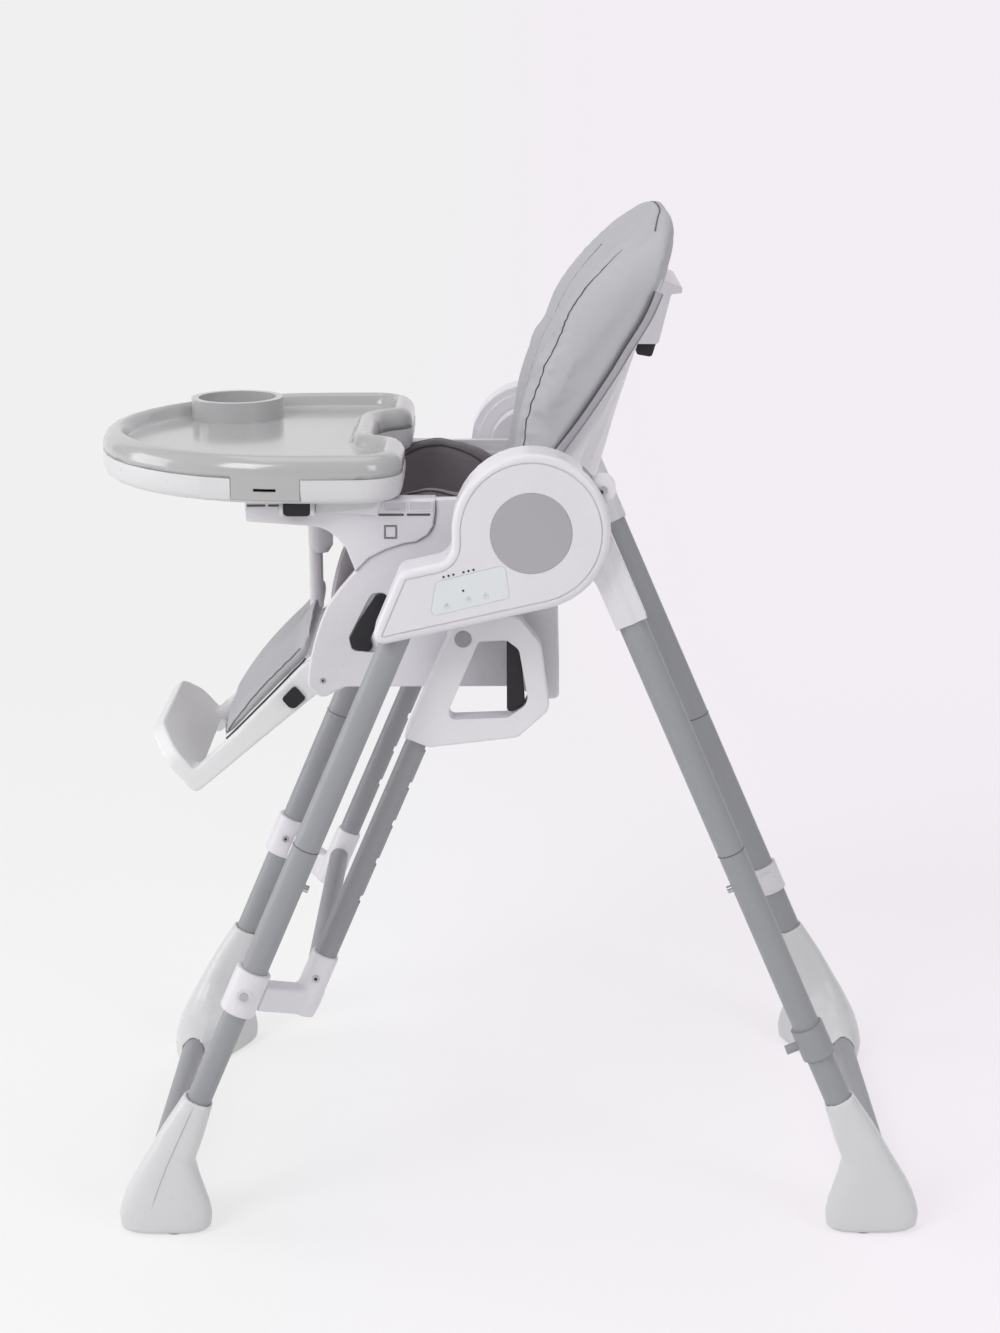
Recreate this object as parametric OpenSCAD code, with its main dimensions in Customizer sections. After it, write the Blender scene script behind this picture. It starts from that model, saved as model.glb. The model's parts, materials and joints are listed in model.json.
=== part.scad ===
// Baby high chair with folding legs, a seat that slides up and down two guide
// tubes, and a swing drive in the hubs. Millimetres, +Z up, the floor at Z = 0,
// the child faces -X and the child's left is at -Y.

/* [Folding legs] */
// Tilt of both pairs of legs away from upright, in degrees
leg_tilt = 23.2; // [15:0.1:30]
// Distance of each leg from the middle plane
leg_y = 265; // [240:1:290]
// Height of the folding axle
fold_height = 764; // [650:1:850]
// Distance of the folding axle behind the middle of the chair
fold_x = 28; // [0:1:60]
// Distance of the front leg tubes ahead of the axle
front_offset = 80.9; // [60:0.1:100]
// Distance of the rear leg tubes behind the axle
rear_offset = 54.4; // [40:0.1:70]
// Outer diameter of the upper leg tubes
tube_d = 28.5; // [22:0.5:35]
// Wall of the leg tubes
tube_wall = 1.2; // [0.8:0.1:2]
// Play on the radius between a tube and the part it sits in
tube_play = 0.05; // [0.02:0.01:0.1]
// Distance down the leg to the top of the front tube
front_start = 96; // [80:1:120]
// Distance down the leg to the joint of the front tubes
front_joint = 406.8; // [350:1:450]
// Distance down the leg to the end of the middle tube
front_middle_end = 570; // [520:1:620]
// Distance down the leg to the joint of the rear tubes
rear_joint = 394.6; // [350:1:450]
// Length of the narrowed tube end inside the next tube
spigot_length = 60; // [30:1:90]
// Distance down the leg to the lower end of the tubes
leg_end = 808; // [760:1:820]
// Diameter of the floor tubes between the feet
floor_tube_d = 25; // [20:0.5:30]
// Height of the floor tubes
floor_tube_z = 24; // [20:1:30]
// Distance of the floor tubes from the point where the legs meet the floor
floor_tube_shift = 3; // [-5:0.5:10]
// Radius of the spring buttons in the leg tubes
snap_r = 4; // [3:0.5:5]

/* [Hubs] */
// Radius of the left hub
left_hub_r = 79; // [70:1:90]
// Radius of the right hub
right_hub_r = 67; // [60:1:80]
// Distance from the middle of a leg out to the outer face of its hub
hub_out = 35; // [30:1:40]
// Depth of the hub caps
hub_cap = 18; // [15:1:22]
// Width of the hubs, without their inner covers
hub_width = 53; // [50:1:58]
// Wall of the hub shells
hub_wall = 3; // [2:0.5:4]
// Rounding of the outer edge of the hubs
hub_edge = 7; // [3:0.5:9]
// Slope of the arm that holds the front leg, in degrees
arm_slope = 12.5; // [5:0.5:20]
// Distance of the arm's front edge ahead of the leg tube
arm_nose = 24; // [18:0.5:30]
// Distance of the arm's top line below the axle
arm_drop = 10; // [0:1:20]
// Radius of the grey disc on each hub
disc_r = 40.5; // [30:0.5:50]
// Radius of the boss that the rear leg folds on
fold_boss_r = 20; // [15:0.5:25]
// Radius of the journal that the swing frame hangs on
swing_journal_r = 18; // [12:0.5:22]
// Play on the radius of the turning bearings
bearing_play = 0.05; // [0.02:0.01:0.1]

/* [Swing frame and height slides] */
// Distance of each guide tube from the middle plane
guide_y = 213; // [205:1:220]
// Distance of the guide tubes ahead of the axle
guide_offset = 15.1; // [5:0.1:25]
// Diameter of the guide tubes
guide_d = 24; // [20:0.5:28]
// Distance down the guide tube to its lower end
guide_end = 590; // [540:1:620]
// Distance between two height steps
height_step = 45; // [30:1:60]
// Diameter of the swing frame's cross tube
swing_tube_d = 22; // [18:0.5:26]
// Distance down the guide tube to the cross tube
swing_tube_s = 550; // [530:1:575]
// Outer diameter of the collars on the front legs
collar_d = 37.5; // [34:0.5:42]
// Distance down the leg to the middle of the collars
collar_s = 570; // [540:1:590]
// Length of the collars
collar_length = 50; // [30:1:60]
// Play on the radius between the slides and the guide tubes
slide_play = 0.3; // [0.2:0.05:0.5]
// Distance of the slides' inner face from the middle
slide_inner = 188; // [186:1:192]
// Distance of the slides' outer face from the middle
slide_outer = 232; // [228:1:234]
// Distance of the handles' inner face from the middle
handle_inner = 204; // [198:1:208]
// Thickness of the height triggers
trigger_thick = 16; // [12:0.5:20]
// Travel of the height triggers
trigger_travel = 6; // [4:0.5:8]
// Play round moving buttons and levers
button_play = 0.4; // [0.3:0.05:0.6]

/* [Seat] */
// Distance of the inside of the seat sides from the middle
seat_inner = 176; // [170:1:180]
// Height of the underside of the seat pan
pan_bottom = 597; // [585:1:605]
// Thickness of the seat pan
pan_thick = 15; // [8:1:20]
// Front edge of the seat pan
pan_front = -186; // [-190:1:-180]
// Rear edge of the seat pan
pan_rear = 46; // [30:1:50]
// Distance of the inner face of the armrests from the middle
armrest_inner = 166; // [160:1:170]
// Thickness of the armrests
armrest_thick = 26; // [20:1:30]
// Height of the armrests
armrest_top = 770; // [760:1:780]
// Thickness of the seat cushion at its front
cushion_front = 36; // [20:1:45]
// Thickness of the seat cushion at its rear
cushion_rear = 14; // [8:1:25]
// Half width of the seat cushion
cushion_half = 146; // [130:1:148]
// Thickness of the side cushions
wing_thick = 17; // [10:1:20]

/* [Backrest] */
// Pivot of the backrest, forward and back
recline_x = 38; // [30:1:45]
// Pivot of the backrest, height
recline_z = 652; // [645:1:660]
// Radius of the backrest pins
recline_pin_r = 6; // [4:0.5:8]
// Half width of the backrest shell
back_half = 168; // [160:1:172]
// Wall of the backrest shell
back_wall = 4; // [3:0.5:5]
// Half width of the carrying handle on the backrest
handle_half = 80; // [50:1:100]

/* [Leg rest] */
// Pivot of the leg rest, forward and back
rest_x = -189; // [-195:1:-180]
// Pivot of the leg rest, height
rest_z = 577.5; // [570:0.5:585]
// Slope of the leg rest below level, in degrees
rest_slope = 40.5; // [30:0.5:50]
// Distance from the toe plate to the pivot, along the leg rest
rest_length = 200.7; // [180:0.1:220]
// Height of the pivot above the underside of the leg rest
rest_rise = 13.3; // [10:0.1:20]
// Distance of the outer face of the leg rest arms from the middle
rest_outer = 132; // [125:1:135]
// Thickness of the leg rest arms
rest_arm_thick = 14; // [10:1:18]
// Radius of the leg rest pins
rest_pin_r = 5; // [4:0.5:7]
// Half width of the leg rest cushion
rest_pad_half = 126; // [122:1:128]

/* [Trays] */
// Height of the underside of the tray base
tray_bottom = 770.6; // [770.3:0.1:775]
// Height of the upper edge of the tray base
tray_seam = 797; // [790:1:805]
// Height of the rim of the upper tray
tray_crest = 820; // [812:1:828]
// Radius of the round front of the trays
tray_r = 229; // [210:1:240]
// Centre of the round front of the trays
tray_centre_x = -206; // [-215:1:-195]
// Rear edge of the trays beside the child
tray_rear_x = -103; // [-115:1:-95]
// Rear edge of the trays in front of the child
belly_x = -138; // [-150:1:-130]
// Radius of the cup holder
cup_r = 52; // [45:1:56]
// Wall of the cup holder
cup_wall = 8; // [5:1:10]
// Height of the cup holder's rim
cup_top = 828; // [822:1:835]
// Diameter of the post between the child's legs
post_d = 15; // [12:0.5:20]
// Height of the lower end of the post
post_end = 614; // [612:1:640]

/* [Hidden] */
$fn = 48;
arc_step = 9;
ring_points = 24;

white = [0.88, 0.87, 0.89];
tube_grey = [0.60, 0.61, 0.64];
light_grey = [0.72, 0.72, 0.72];
fabric_grey = [0.70, 0.70, 0.71];
dark_fabric = [0.33, 0.31, 0.33];
black = [0.13, 0.12, 0.14];
steel = [0.75, 0.75, 0.77];

tube_r = tube_d / 2;
lower_r = tube_r - tube_wall - tube_play;
front_floor_x = fold_x - front_offset / cos(leg_tilt) - fold_height * tan(leg_tilt);
rear_floor_x = fold_x + rear_offset / cos(leg_tilt) + fold_height * tan(leg_tilt);
floor_tube_r = floor_tube_d / 2;
sole_z = 1.5;
axle = [fold_x, fold_height];
hub_outer = leg_y + hub_out;
cap_inner = hub_outer - hub_cap;
hub_inner = hub_outer - hub_width;
// Seat, backrest, leg rest and trays are measured from a datum below the axle,
// which is on the floor while the seat is at its lowest step
seat_datum = axle - [28, 756];

// ---- outlines ----

function unit2(v) = v / norm(v);

function line_meet(p, u, q, w) = p + u * cross(q - p, w) / cross(u, w);

function arc(c, r, a0, a1) =
  let (n = max(2, ceil(abs(a1 - a0) / arc_step)))
  [for (i = [0:n]) c + r * [cos(a0 + (a1 - a0) * i / n), sin(a0 + (a1 - a0) * i / n)]];

// The round that replaces corner b of the path a, b, c
function fillet_arc(a, b, c, r) =
  let (
    u = unit2(a - b),
    w = unit2(c - b),
    half = acos(u * w) / 2,
    centre = b + unit2(u + w) * r / sin(half),
    first = b + u * r / tan(half),
    start = atan2(first.y - centre.y, first.x - centre.x),
    sweep = (180 - 2 * half) * sign(cross(b - a, c - b))
  )
  arc(centre, r, start, start + sweep);

// Corners [x, y, radius] to points, the radius left out for a sharp corner
function rounded(corners) =
  let (n = len(corners))
  [for (i = [0:n - 1])
    let (
      a = corners[(i + n - 1) % n],
      b = corners[i],
      c = corners[(i + 1) % n],
      p = [b.x, b.y]
    )
    each (b.z == undef ? [p] : fillet_arc([a.x, a.y], p, [c.x, c.y], b.z))];

function inset_outline(p, d) =
  let (n = len(p))
  [for (i = [0:n - 1])
    let (t = unit2(p[(i + 1) % n] - p[(i + n - 1) % n]))
    p[i] + d * [-t.y, t.x]];

function at_height(outline, z) = [for (p = outline) [p.x, p.y, z]];

function turn(a, b, c) = (b.x - a.x) * (c.y - a.y) - (b.y - a.y) * (c.x - a.x);

function inside(q, a, b, c) =
  turn(a, b, q) >= 0 && turn(b, c, q) >= 0 && turn(c, a, q) >= 0;

// Can corner i be cut off the outline without cutting through another part of it?
function is_ear(p, ids, i) =
  let (
    n = len(ids),
    a = p[ids[(i + n - 1) % n]],
    b = p[ids[i % n]],
    c = p[ids[(i + 1) % n]]
  )
  turn(a, b, c) > 0.001 &&
  len([for (k = ids) if (p[k] != a && p[k] != b && p[k] != c && inside(p[k], a, b, c)) k]) == 0;

function next_ear(p, ids, i) =
  i > 3 * len(ids) || is_ear(p, ids, i) ? i % len(ids) : next_ear(p, ids, i + 1);

// Triangles that fill an outline, hollow corners and all
function cut_up(p, ids = undef, start = 0) =
  let (
    left = ids == undef ? [for (i = [0:len(p) - 1]) i] : ids,
    n = len(left),
    i = next_ear(p, left, start)
  )
  n == 3 ? [left] : concat(
    [[left[(i + n - 1) % n], left[i], left[(i + 1) % n]]],
    cut_up(p, [for (k = [0:n - 1]) if (k != i) left[k]], i + 1)
  );

// ---- solids ----

// A skin over closed rings of equal length, counter-clockwise seen from the last ring.
// Level rings may have hollow corners, other rings are round.
module loft(rings, level = false) {
  n = len(rings[0]);
  last = len(rings) - 1;
  whole = [[for (i = [0:n - 1]) i]];
  polyhedron(
    points = [for (r = rings) each r],
    faces = concat(
      level ? cut_up(rings[0]) : whole,
      [for (t = level ? cut_up(rings[last]) : whole)
        [for (i = [len(t) - 1:-1:0]) last * n + t[i]]],
      [for (k = [0:last - 1], i = [0:n - 1])
        let (j = (i + 1) % n)
        each [[k * n + i, (k + 1) * n + i, (k + 1) * n + j],
              [k * n + i, (k + 1) * n + j, k * n + j]]]
    )
  );
}

// A slab with rounded lower and upper edges
module soft_slab(outline, z0, z1, r0, r1) {
  low = r0 == 0 ? [[0, z0]]
    : [for (a = [0:45:90]) [r0 * (1 - sin(a)), z0 + r0 * (1 - cos(a))]];
  high = r1 == 0 ? [[0, z1]]
    : [for (a = [90:-30:0]) [r1 * (1 - sin(a)), z1 - r1 * (1 - cos(a))]];
  loft([for (e = concat(low, high)) at_height(inset_outline(outline, e.x), e.y)], true);
}

module tube(r, wall, length) {
  difference() {
    cylinder(r = r, h = length);
    translate([0, 0, -1]) cylinder(r = r - wall, h = length + 2);
  }
}

// Lays a solid built upwards on the left side, its Z pointing away from the middle
module beside(distance) {
  rotate([90, 0, 0]) translate([0, 0, distance]) children();
}

module plate(inner, outer) {
  beside(inner) linear_extrude(outer - inner) children();
}

module rod(x, z, inner, outer, r) {
  beside(inner) translate([x, z, 0]) cylinder(r = r, h = outer - inner);
}

// Right-hand copies of left-hand parts
module on_right() {
  mirror([0, 1, 0]) children();
}

module in_front_frame() {
  translate([fold_x, 0, fold_height]) rotate([0, leg_tilt, 0]) children();
}

module in_rear_frame() {
  translate([fold_x, 0, fold_height]) rotate([0, -leg_tilt, 0]) children();
}

module on_front_leg(s) {
  in_front_frame() translate([-front_offset, -leg_y, -s]) children();
}

module on_rear_leg(s) {
  in_rear_frame() translate([rear_offset, -leg_y, -s]) children();
}

// Children are placed from the seat's datum
module with_seat() {
  translate([seat_datum.x, 0, seat_datum.y]) children();
}

module on_guide(s) {
  in_front_frame() translate([-guide_offset, -guide_y, -s]) children();
}

// ---- legs ----

front_snap_s = 442;
rear_snap_s = 432;
snap_out = 5;

module snap_hole(turn) {
  rotate([0, 90 * turn, 0]) cylinder(r = snap_r + tube_play, h = tube_d);
}

module snap_button(turn) {
  rotate([0, 90 * turn, 0]) cylinder(r = snap_r, h = tube_r + snap_out);
}

module front_upper_tube() {
  color(tube_grey) {
    difference() {
      union() {
        on_front_leg(front_joint) tube(tube_r, tube_wall, front_joint - front_start);
        on_front_leg(front_joint + spigot_length)
          tube(lower_r, tube_wall, spigot_length + tube_wall);
      }
      on_front_leg(front_snap_s) snap_hole(1);
    }
  }
}

module front_middle_tube() {
  color(tube_grey) difference() {
    on_front_leg(front_middle_end) tube(tube_r, tube_wall, front_middle_end - front_joint);
    on_front_leg(front_snap_s) snap_hole(1);
  }
}

lower_tube_start = 500;

module front_lower_tube() {
  color(tube_grey) on_front_leg(leg_end) tube(lower_r, tube_wall, leg_end - lower_tube_start);
}

rear_start = 30;

module rear_upper_tube() {
  color(tube_grey) difference() {
    union() {
      on_rear_leg(rear_joint) tube(tube_r, tube_wall, rear_joint - rear_start);
      on_rear_leg(rear_joint + spigot_length)
        tube(lower_r, tube_wall, spigot_length + tube_wall);
    }
    on_rear_leg(rear_snap_s) snap_hole(-1);
  }
}

module rear_lower_tube() {
  color(tube_grey) difference() {
    on_rear_leg(leg_end) tube(tube_r, tube_wall, leg_end - rear_joint);
    on_rear_leg(rear_snap_s) snap_hole(-1);
  }
}

collar_bore_end = collar_s + collar_length / 2;
screw_r = 2;
screw_head_r = 4.5;
collar_boss_out = leg_y + 20;

module leg_collar() {
  color(white) difference() {
    union() {
      on_front_leg(collar_bore_end) {
        cylinder(d1 = collar_d - 3, d2 = collar_d, h = 1.5);
        translate([0, 0, 1.5]) cylinder(d = collar_d, h = collar_length - 3);
        translate([0, 0, collar_length - 1.5]) cylinder(d1 = collar_d, d2 = collar_d - 3, h = 1.5);
      }
      on_front_leg(collar_s) rotate([90, 0, 0]) cylinder(r = 8, h = collar_boss_out - leg_y);
    }
    on_front_leg(front_middle_end) cylinder(r = tube_r + tube_play, h = collar_length);
    on_front_leg(collar_bore_end + 1) cylinder(r = lower_r + tube_play, h = collar_length);
    on_front_leg(collar_s) rotate([90, 0, 0])
      translate([0, 0, tube_r]) cylinder(r = screw_r, h = collar_d);
  }
}

// ---- feet ----

foot_outer = 285;
foot_sleeve_outer = 282;
foot_pads = [[34, 264, 14], [5, 198, 12]];
foot_pad_thick = 3;

// Rings of a foot: height, front and rear ends, slope, outer side, inner side front and rear
foot_levels = [
  [sole_z, -15, 67, 0, 281, 156, 244],
  [6, -23, 73, 0, 284.5, 151, 250],
  [20, -25, 74.5, 0, foot_outer, 150, 253],
  [33, -22, 72, 0, foot_outer, 153, 253],
  [42, -18, 69, 0, foot_outer, 172, 252],
  [52, -13, 66, 0, foot_outer, 205, 251],
  [66, -5, 62, 0.05, foot_outer, 226, 250],
  [84, 6, 58, 0.1, 284.5, 238, 249],
  [112, 24, 67, 0.3, 283.5, 245, 248],
  [150, 49, 78.5, tan(leg_tilt), foot_sleeve_outer, 248, 248]
];

function soft_wave(v) = sign(v) * pow(abs(v), 0.72);

function foot_ring(e) =
  [for (i = [0:ring_points - 1])
    let (
      a = 360 * (i + 0.5) / ring_points,
      c = soft_wave(cos(a)),
      s = soft_wave(sin(a)),
      half = (e[2] - e[1]) / 2,
      inner = e[5] + (e[6] - e[5]) * pow((1 + c) / 2, 1.6),
      side = s < 0 ? leg_y - s * (e[4] - leg_y) : leg_y - s * (leg_y - inner)
    )
    [(e[1] + e[2]) / 2 + half * c, -side, e[0] - e[3] * half * c]];

module foot_body() {
  difference() {
    loft([for (e = foot_levels) foot_ring(e)]);
    for (p = foot_pads)
      translate([p.x, -p.y, 0]) cylinder(r = p.z + tube_play, h = foot_pad_thick);
    translate([floor_tube_shift, -leg_y, floor_tube_z]) rotate([-90, 0, 0])
      cylinder(r = floor_tube_r + tube_play, h = leg_y);
  }
}

module front_foot() {
  color(white) difference() {
    translate([front_floor_x, 0, 0]) foot_body();
    on_front_leg(leg_end) cylinder(r = lower_r + tube_play, h = leg_end);
  }
}

module rear_foot() {
  color(white) difference() {
    translate([rear_floor_x, 0, 0]) mirror([1, 0, 0]) foot_body();
    on_rear_leg(leg_end) cylinder(r = tube_r + tube_play, h = leg_end);
  }
}

module foot_pad_pair() {
  for (p = foot_pads)
    translate([p.x, -p.y, 0]) cylinder(r = p.z, h = foot_pad_thick);
}

module front_foot_pads() {
  color(black) translate([front_floor_x, 0, 0]) {
    foot_pad_pair();
    on_right() foot_pad_pair();
  }
}

module rear_foot_pads() {
  color(black) translate([rear_floor_x, 0, 0]) mirror([1, 0, 0]) {
    foot_pad_pair();
    on_right() foot_pad_pair();
  }
}

module floor_tube(x) {
  color(tube_grey) translate([x, -leg_y, floor_tube_z]) rotate([-90, 0, 0])
    tube(floor_tube_r, tube_wall, 2 * leg_y);
}

// ---- hubs ----

function hub_outline(r) =
  let (
    along = [cos(arm_slope), sin(arm_slope)],
    low = axle + r * [sin(arm_slope), -cos(arm_slope)],
    edge = axle + (front_offset + arm_nose) * [-cos(leg_tilt), sin(leg_tilt)],
    down = [-sin(leg_tilt), -cos(leg_tilt)],
    arm_top = axle - [0, arm_drop],
    neck = axle + r * [cos(175), sin(175)],
    neck_foot = line_meet(neck, [0, 1], arm_top, along),
    top_corner = line_meet(edge, down, arm_top, along),
    low_corner = line_meet(edge, down, low, along)
  )
  concat(
    arc(axle, r, arm_slope - 90, 175),
    fillet_arc(neck, neck_foot, top_corner, 20),
    fillet_arc(neck_foot, top_corner, low_corner, 12),
    fillet_arc(top_corner, low_corner, low, 10)
  );

disc_depth = 1.5;
groove_in = 1.2;
groove_wide = 1;
groove_sink = 0.8;
wall_top_z = fold_height + 60;
leg_grip_length = 64;
drive_at = axle - [48, 66];
drive_r = 17;

// The side wall ends here, so that the folding rear socket can pass below
function wall_end(r) = fold_x + 0.8 * r - knuckle_r;

module hub_shell(r) {
  outline = hub_outline(r);
  inside = inset_outline(outline, hub_wall);
  difference() {
    union() {
      difference() {
        union() {
          intersection() {
            beside(hub_inner) linear_extrude(cap_inner - hub_inner) polygon(outline);
            union() {
              plate(hub_inner, cap_inner) translate([wall_end(r) - 400, 500]) square([400, 500]);
              plate(hub_inner, cap_inner) translate([fold_x, wall_top_z]) square([200, 100]);
            }
          }
          beside(cap_inner) soft_slab(outline, 0, hub_outer - cap_inner, 0, hub_edge);
        }
        plate(hub_inner - 1, hub_outer - hub_edge - 2) polygon(inside);
        plate(hub_inner - 1, hub_outer - hub_wall)
          polygon(inset_outline(outline, hub_wall + hub_edge / 2));
        rod(fold_x, fold_height, hub_outer - disc_depth, hub_outer + 1, disc_r + bearing_play);
      }
      rod(fold_x, fold_height, hub_inner + 3, hub_outer - disc_depth - 0.5, fold_boss_r);
      intersection() {
        plate(hub_inner, hub_outer - hub_wall) polygon(inside);
        on_front_leg(front_start + leg_grip_length)
          translate([-arm_nose, -hub_outer + leg_y, 0])
          cube([arm_nose + 21, hub_outer - hub_inner, leg_grip_length + 6]);
      }
    }
    on_front_leg(front_start + 2 * leg_grip_length)
      cylinder(r = tube_r + tube_play, h = 2 * leg_grip_length);
    plate(hub_outer - groove_sink, hub_outer + 1) difference() {
      polygon(inset_outline(outline, hub_edge + groove_in));
      polygon(inset_outline(outline, hub_edge + groove_in + groove_wide));
    }
  }
}

module left_hub_shell() {
  color(white) difference() {
    hub_shell(left_hub_r);
    plate(hub_outer - panel_depth, hub_outer + 1) polygon(panel_outline);
  }
}

module right_hub_shell() {
  color(white) on_right() hub_shell(right_hub_r);
}

cover_thick = 4;
bearing_length = 11;

module hub_cover(r) {
  difference() {
    union() {
      plate(hub_inner - cover_thick, hub_inner) polygon(inset_outline(hub_outline(r), 0.5));
      rod(fold_x, fold_height, hub_inner - bearing_length, hub_inner, r - 8);
    }
    rod(fold_x, fold_height, hub_inner - 2 * bearing_length, hub_outer,
      swing_journal_r + bearing_play);
  }
}

module hub_covers() {
  color(white) {
    hub_cover(left_hub_r);
    on_right() hub_cover(right_hub_r);
  }
}

module hub_disc() {
  rod(fold_x, fold_height, hub_outer - disc_depth, hub_outer + 0.3, disc_r);
}

module hub_discs() {
  color(light_grey) {
    hub_disc();
    on_right() hub_disc();
  }
}

panel_depth = 1;
panel_round = 5;
// Corners of the panel, its lamps and its keys, all counted from the axle
panel_outline = rounded([
  for (p = [[-100.8, -84.2], [-21.2, -65], [-26, -31.5], [-94.5, -48.6]])
    [axle.x + p.x, axle.y + p.y, panel_round]
]);
lamps = [
  [-86.7, -43.5], [-82.3, -42.3], [-76.9, -41.1], [-67.2, -38.8], [-62.1, -37.6],
  [-57.3, -36.4], [-67.6, -57.5]
];
touch_keys = [[-84.1, -73], [-62.1, -66.3], [-45.4, -62.9]];

module control_panel() {
  color([0.88, 0.91, 0.91]) difference() {
    plate(hub_outer - panel_depth, hub_outer + 0.2)
      polygon(inset_outline(panel_outline, bearing_play));
    for (p = concat(lamps, touch_keys))
      rod(axle.x + p.x, axle.y + p.y, hub_outer - 0.3, hub_outer + 1, 1);
  }
}

module swing_drive() {
  color(steel) {
    rod(drive_at.x, drive_at.y, hub_inner, cap_inner, drive_r);
    rod(drive_at.x, drive_at.y, cap_inner, hub_outer - hub_wall, drive_r / 2);
  }
}

module front_fastener_set() {
  on_front_leg(collar_s) rotate([90, 0, 0]) {
    translate([0, 0, tube_r]) cylinder(r = screw_r, h = collar_boss_out - leg_y - tube_r);
    translate([0, 0, collar_boss_out - leg_y]) cylinder(r = screw_head_r, h = 2.5);
  }
  on_front_leg(front_snap_s) snap_button(1);
}

module front_fasteners() {
  color(steel) {
    front_fastener_set();
    on_right() front_fastener_set();
  }
}

// ---- rear sockets ----

socket_inner = hub_inner + 5;
socket_outer = cap_inner - 2;
socket_r = 16.5;
socket_end = 129;
knuckle_r = 50;
socket_web = rounded([
  [-30, -34], [rear_offset - socket_r, -66, 24], [rear_offset - socket_r, -socket_end],
  [rear_offset + socket_r, -socket_end], [rear_offset + socket_r, 4, 14], [20, 46, 16],
  [-30, 34]
]);
socket_screw = [81, 8];
socket_lobe_r = 13;

module rear_socket() {
  color(white) difference() {
    union() {
      in_rear_frame() {
        plate(socket_inner, socket_outer) polygon(socket_web);
        rod(0, 0, socket_inner, socket_outer, knuckle_r);
        rod(socket_screw.x, socket_screw.y, socket_inner, socket_outer, socket_lobe_r);
      }
      on_rear_leg(socket_end) cylinder(r = socket_r, h = socket_end - rear_start / 2);
    }
    in_rear_frame() rod(0, 0, hub_inner, hub_outer, fold_boss_r + bearing_play);
    on_rear_leg(socket_end + 1) cylinder(r = tube_r + tube_play, h = socket_end + 1 - rear_start);
    in_rear_frame() rod(socket_screw.x, socket_screw.y, socket_outer - 10, hub_outer, screw_r);
  }
}

module rear_fastener_set() {
  in_rear_frame() {
    rod(socket_screw.x, socket_screw.y, socket_outer - 10, socket_outer, screw_r);
    rod(socket_screw.x, socket_screw.y, socket_outer, socket_outer + 1.2, screw_head_r);
  }
  on_rear_leg(rear_snap_s) snap_button(-1);
}

module rear_fasteners() {
  color(steel) {
    rear_fastener_set();
    on_right() rear_fastener_set();
  }
}

// Clips that park the tray on the rear legs
hook_s = 638;
hook_length = 35;

module tray_hook() {
  on_rear_leg(hook_s) {
    difference() {
      union() {
        cylinder(r = tube_r + 3.2, h = hook_length);
        translate([0, 0, hook_length / 2]) rotate([-90, 0, 0]) cylinder(r = 11, h = 26);
        translate([0, 0, hook_length / 2]) rotate([0, -90, 0]) cylinder(r = 5, h = 30);
      }
      translate([0, 0, -1]) cylinder(r = tube_r + tube_play, h = hook_length + 2);
    }
  }
}

module tray_hooks() {
  color(white) {
    tray_hook();
    on_right() tray_hook();
  }
}

// ---- swing frame ----

hanger_inner = guide_y - 17;
hanger_outer = hub_inner - bearing_length - 2;
hanger_r = 45;
guide_r = guide_d / 2;
guide_start = 20;
hanger_end = 70;
notch_depth = 2.5;
notch_height = 9;
latch_s = 136;
notch_count = 8;

module swing_hanger() {
  color(white) difference() {
    union() {
      rod(fold_x, fold_height, hanger_inner, hanger_outer, hanger_r);
      rod(fold_x, fold_height, hanger_outer, hub_inner, swing_journal_r);
      on_guide(hanger_end) cylinder(r = guide_r + 4, h = hanger_end - guide_start);
    }
    on_guide(hanger_end + 1) cylinder(r = guide_r + tube_play, h = hanger_end + 1 - guide_start);
  }
}

module guide_tube() {
  color(tube_grey) difference() {
    on_guide(guide_end) tube(guide_r, tube_wall + 2, guide_end - guide_start);
    for (k = [0:notch_count - 1])
      on_guide(latch_s + k * height_step) translate([guide_r - notch_depth, -guide_r, 0])
        cube([guide_r, guide_d, notch_height]);
  }
}

elbow_top = 518;
elbow_r = 14.5;
elbow_arm_start = 578;
elbow_arm_height = 27;
saddle_play = 0.5;
saddle_wall = 4;

module swing_elbow() {
  lead = front_offset - guide_offset;
  gap = leg_y - guide_y;
  color(white) difference() {
    union() {
      on_guide(guide_end + 2) cylinder(r = elbow_r, h = guide_end + 2 - elbow_top);
      on_guide(elbow_arm_start) {
        rotate([0, 0, -atan2(gap, -lead)]) translate([0, -11, 0])
          cube([norm([lead, gap]) - collar_d / 2 + 2, 22, elbow_arm_height]);
      }
      on_front_leg(elbow_arm_start)
        cylinder(r = collar_d / 2 + saddle_play + saddle_wall, h = elbow_arm_height);
      on_guide(swing_tube_s) rotate([-90, 0, 0]) cylinder(r = 14.5, h = 34);
    }
    on_guide(guide_end) cylinder(r = guide_r + tube_play, h = guide_end);
    on_front_leg(collar_bore_end + 10)
      cylinder(r = collar_d / 2 + saddle_play, h = collar_length + 20);
    on_front_leg(collar_bore_end + 10) translate([-60, -60, 0])
      cube([59, 120, collar_length + 20]);
    on_front_leg(collar_bore_end + 10) translate([-60, -60, 0])
      cube([120, 48, collar_length + 20]);
    on_guide(swing_tube_s) rotate([-90, 0, 0]) translate([0, 0, elbow_r])
      cylinder(r = swing_tube_d / 2 + tube_play, h = 30);
  }
}

module swing_cross_tube() {
  span = 2 * (guide_y - elbow_r);
  color(tube_grey) in_front_frame()
    translate([-guide_offset, -span / 2, -swing_tube_s]) rotate([-90, 0, 0])
    tube(swing_tube_d / 2, tube_wall, span);
}

// ---- height slides ----

slide_top = 105;
slide_low = 261.5;
slide_half_t = 14.8;
guide_low = axle + guide_offset * [-cos(leg_tilt), sin(leg_tilt)];

// A point beside the guide tube, s down it and t behind its axis
function by_guide(s, t) =
  guide_low + s * [-sin(leg_tilt), -cos(leg_tilt)] + t * [cos(leg_tilt), -sin(leg_tilt)];

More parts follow.
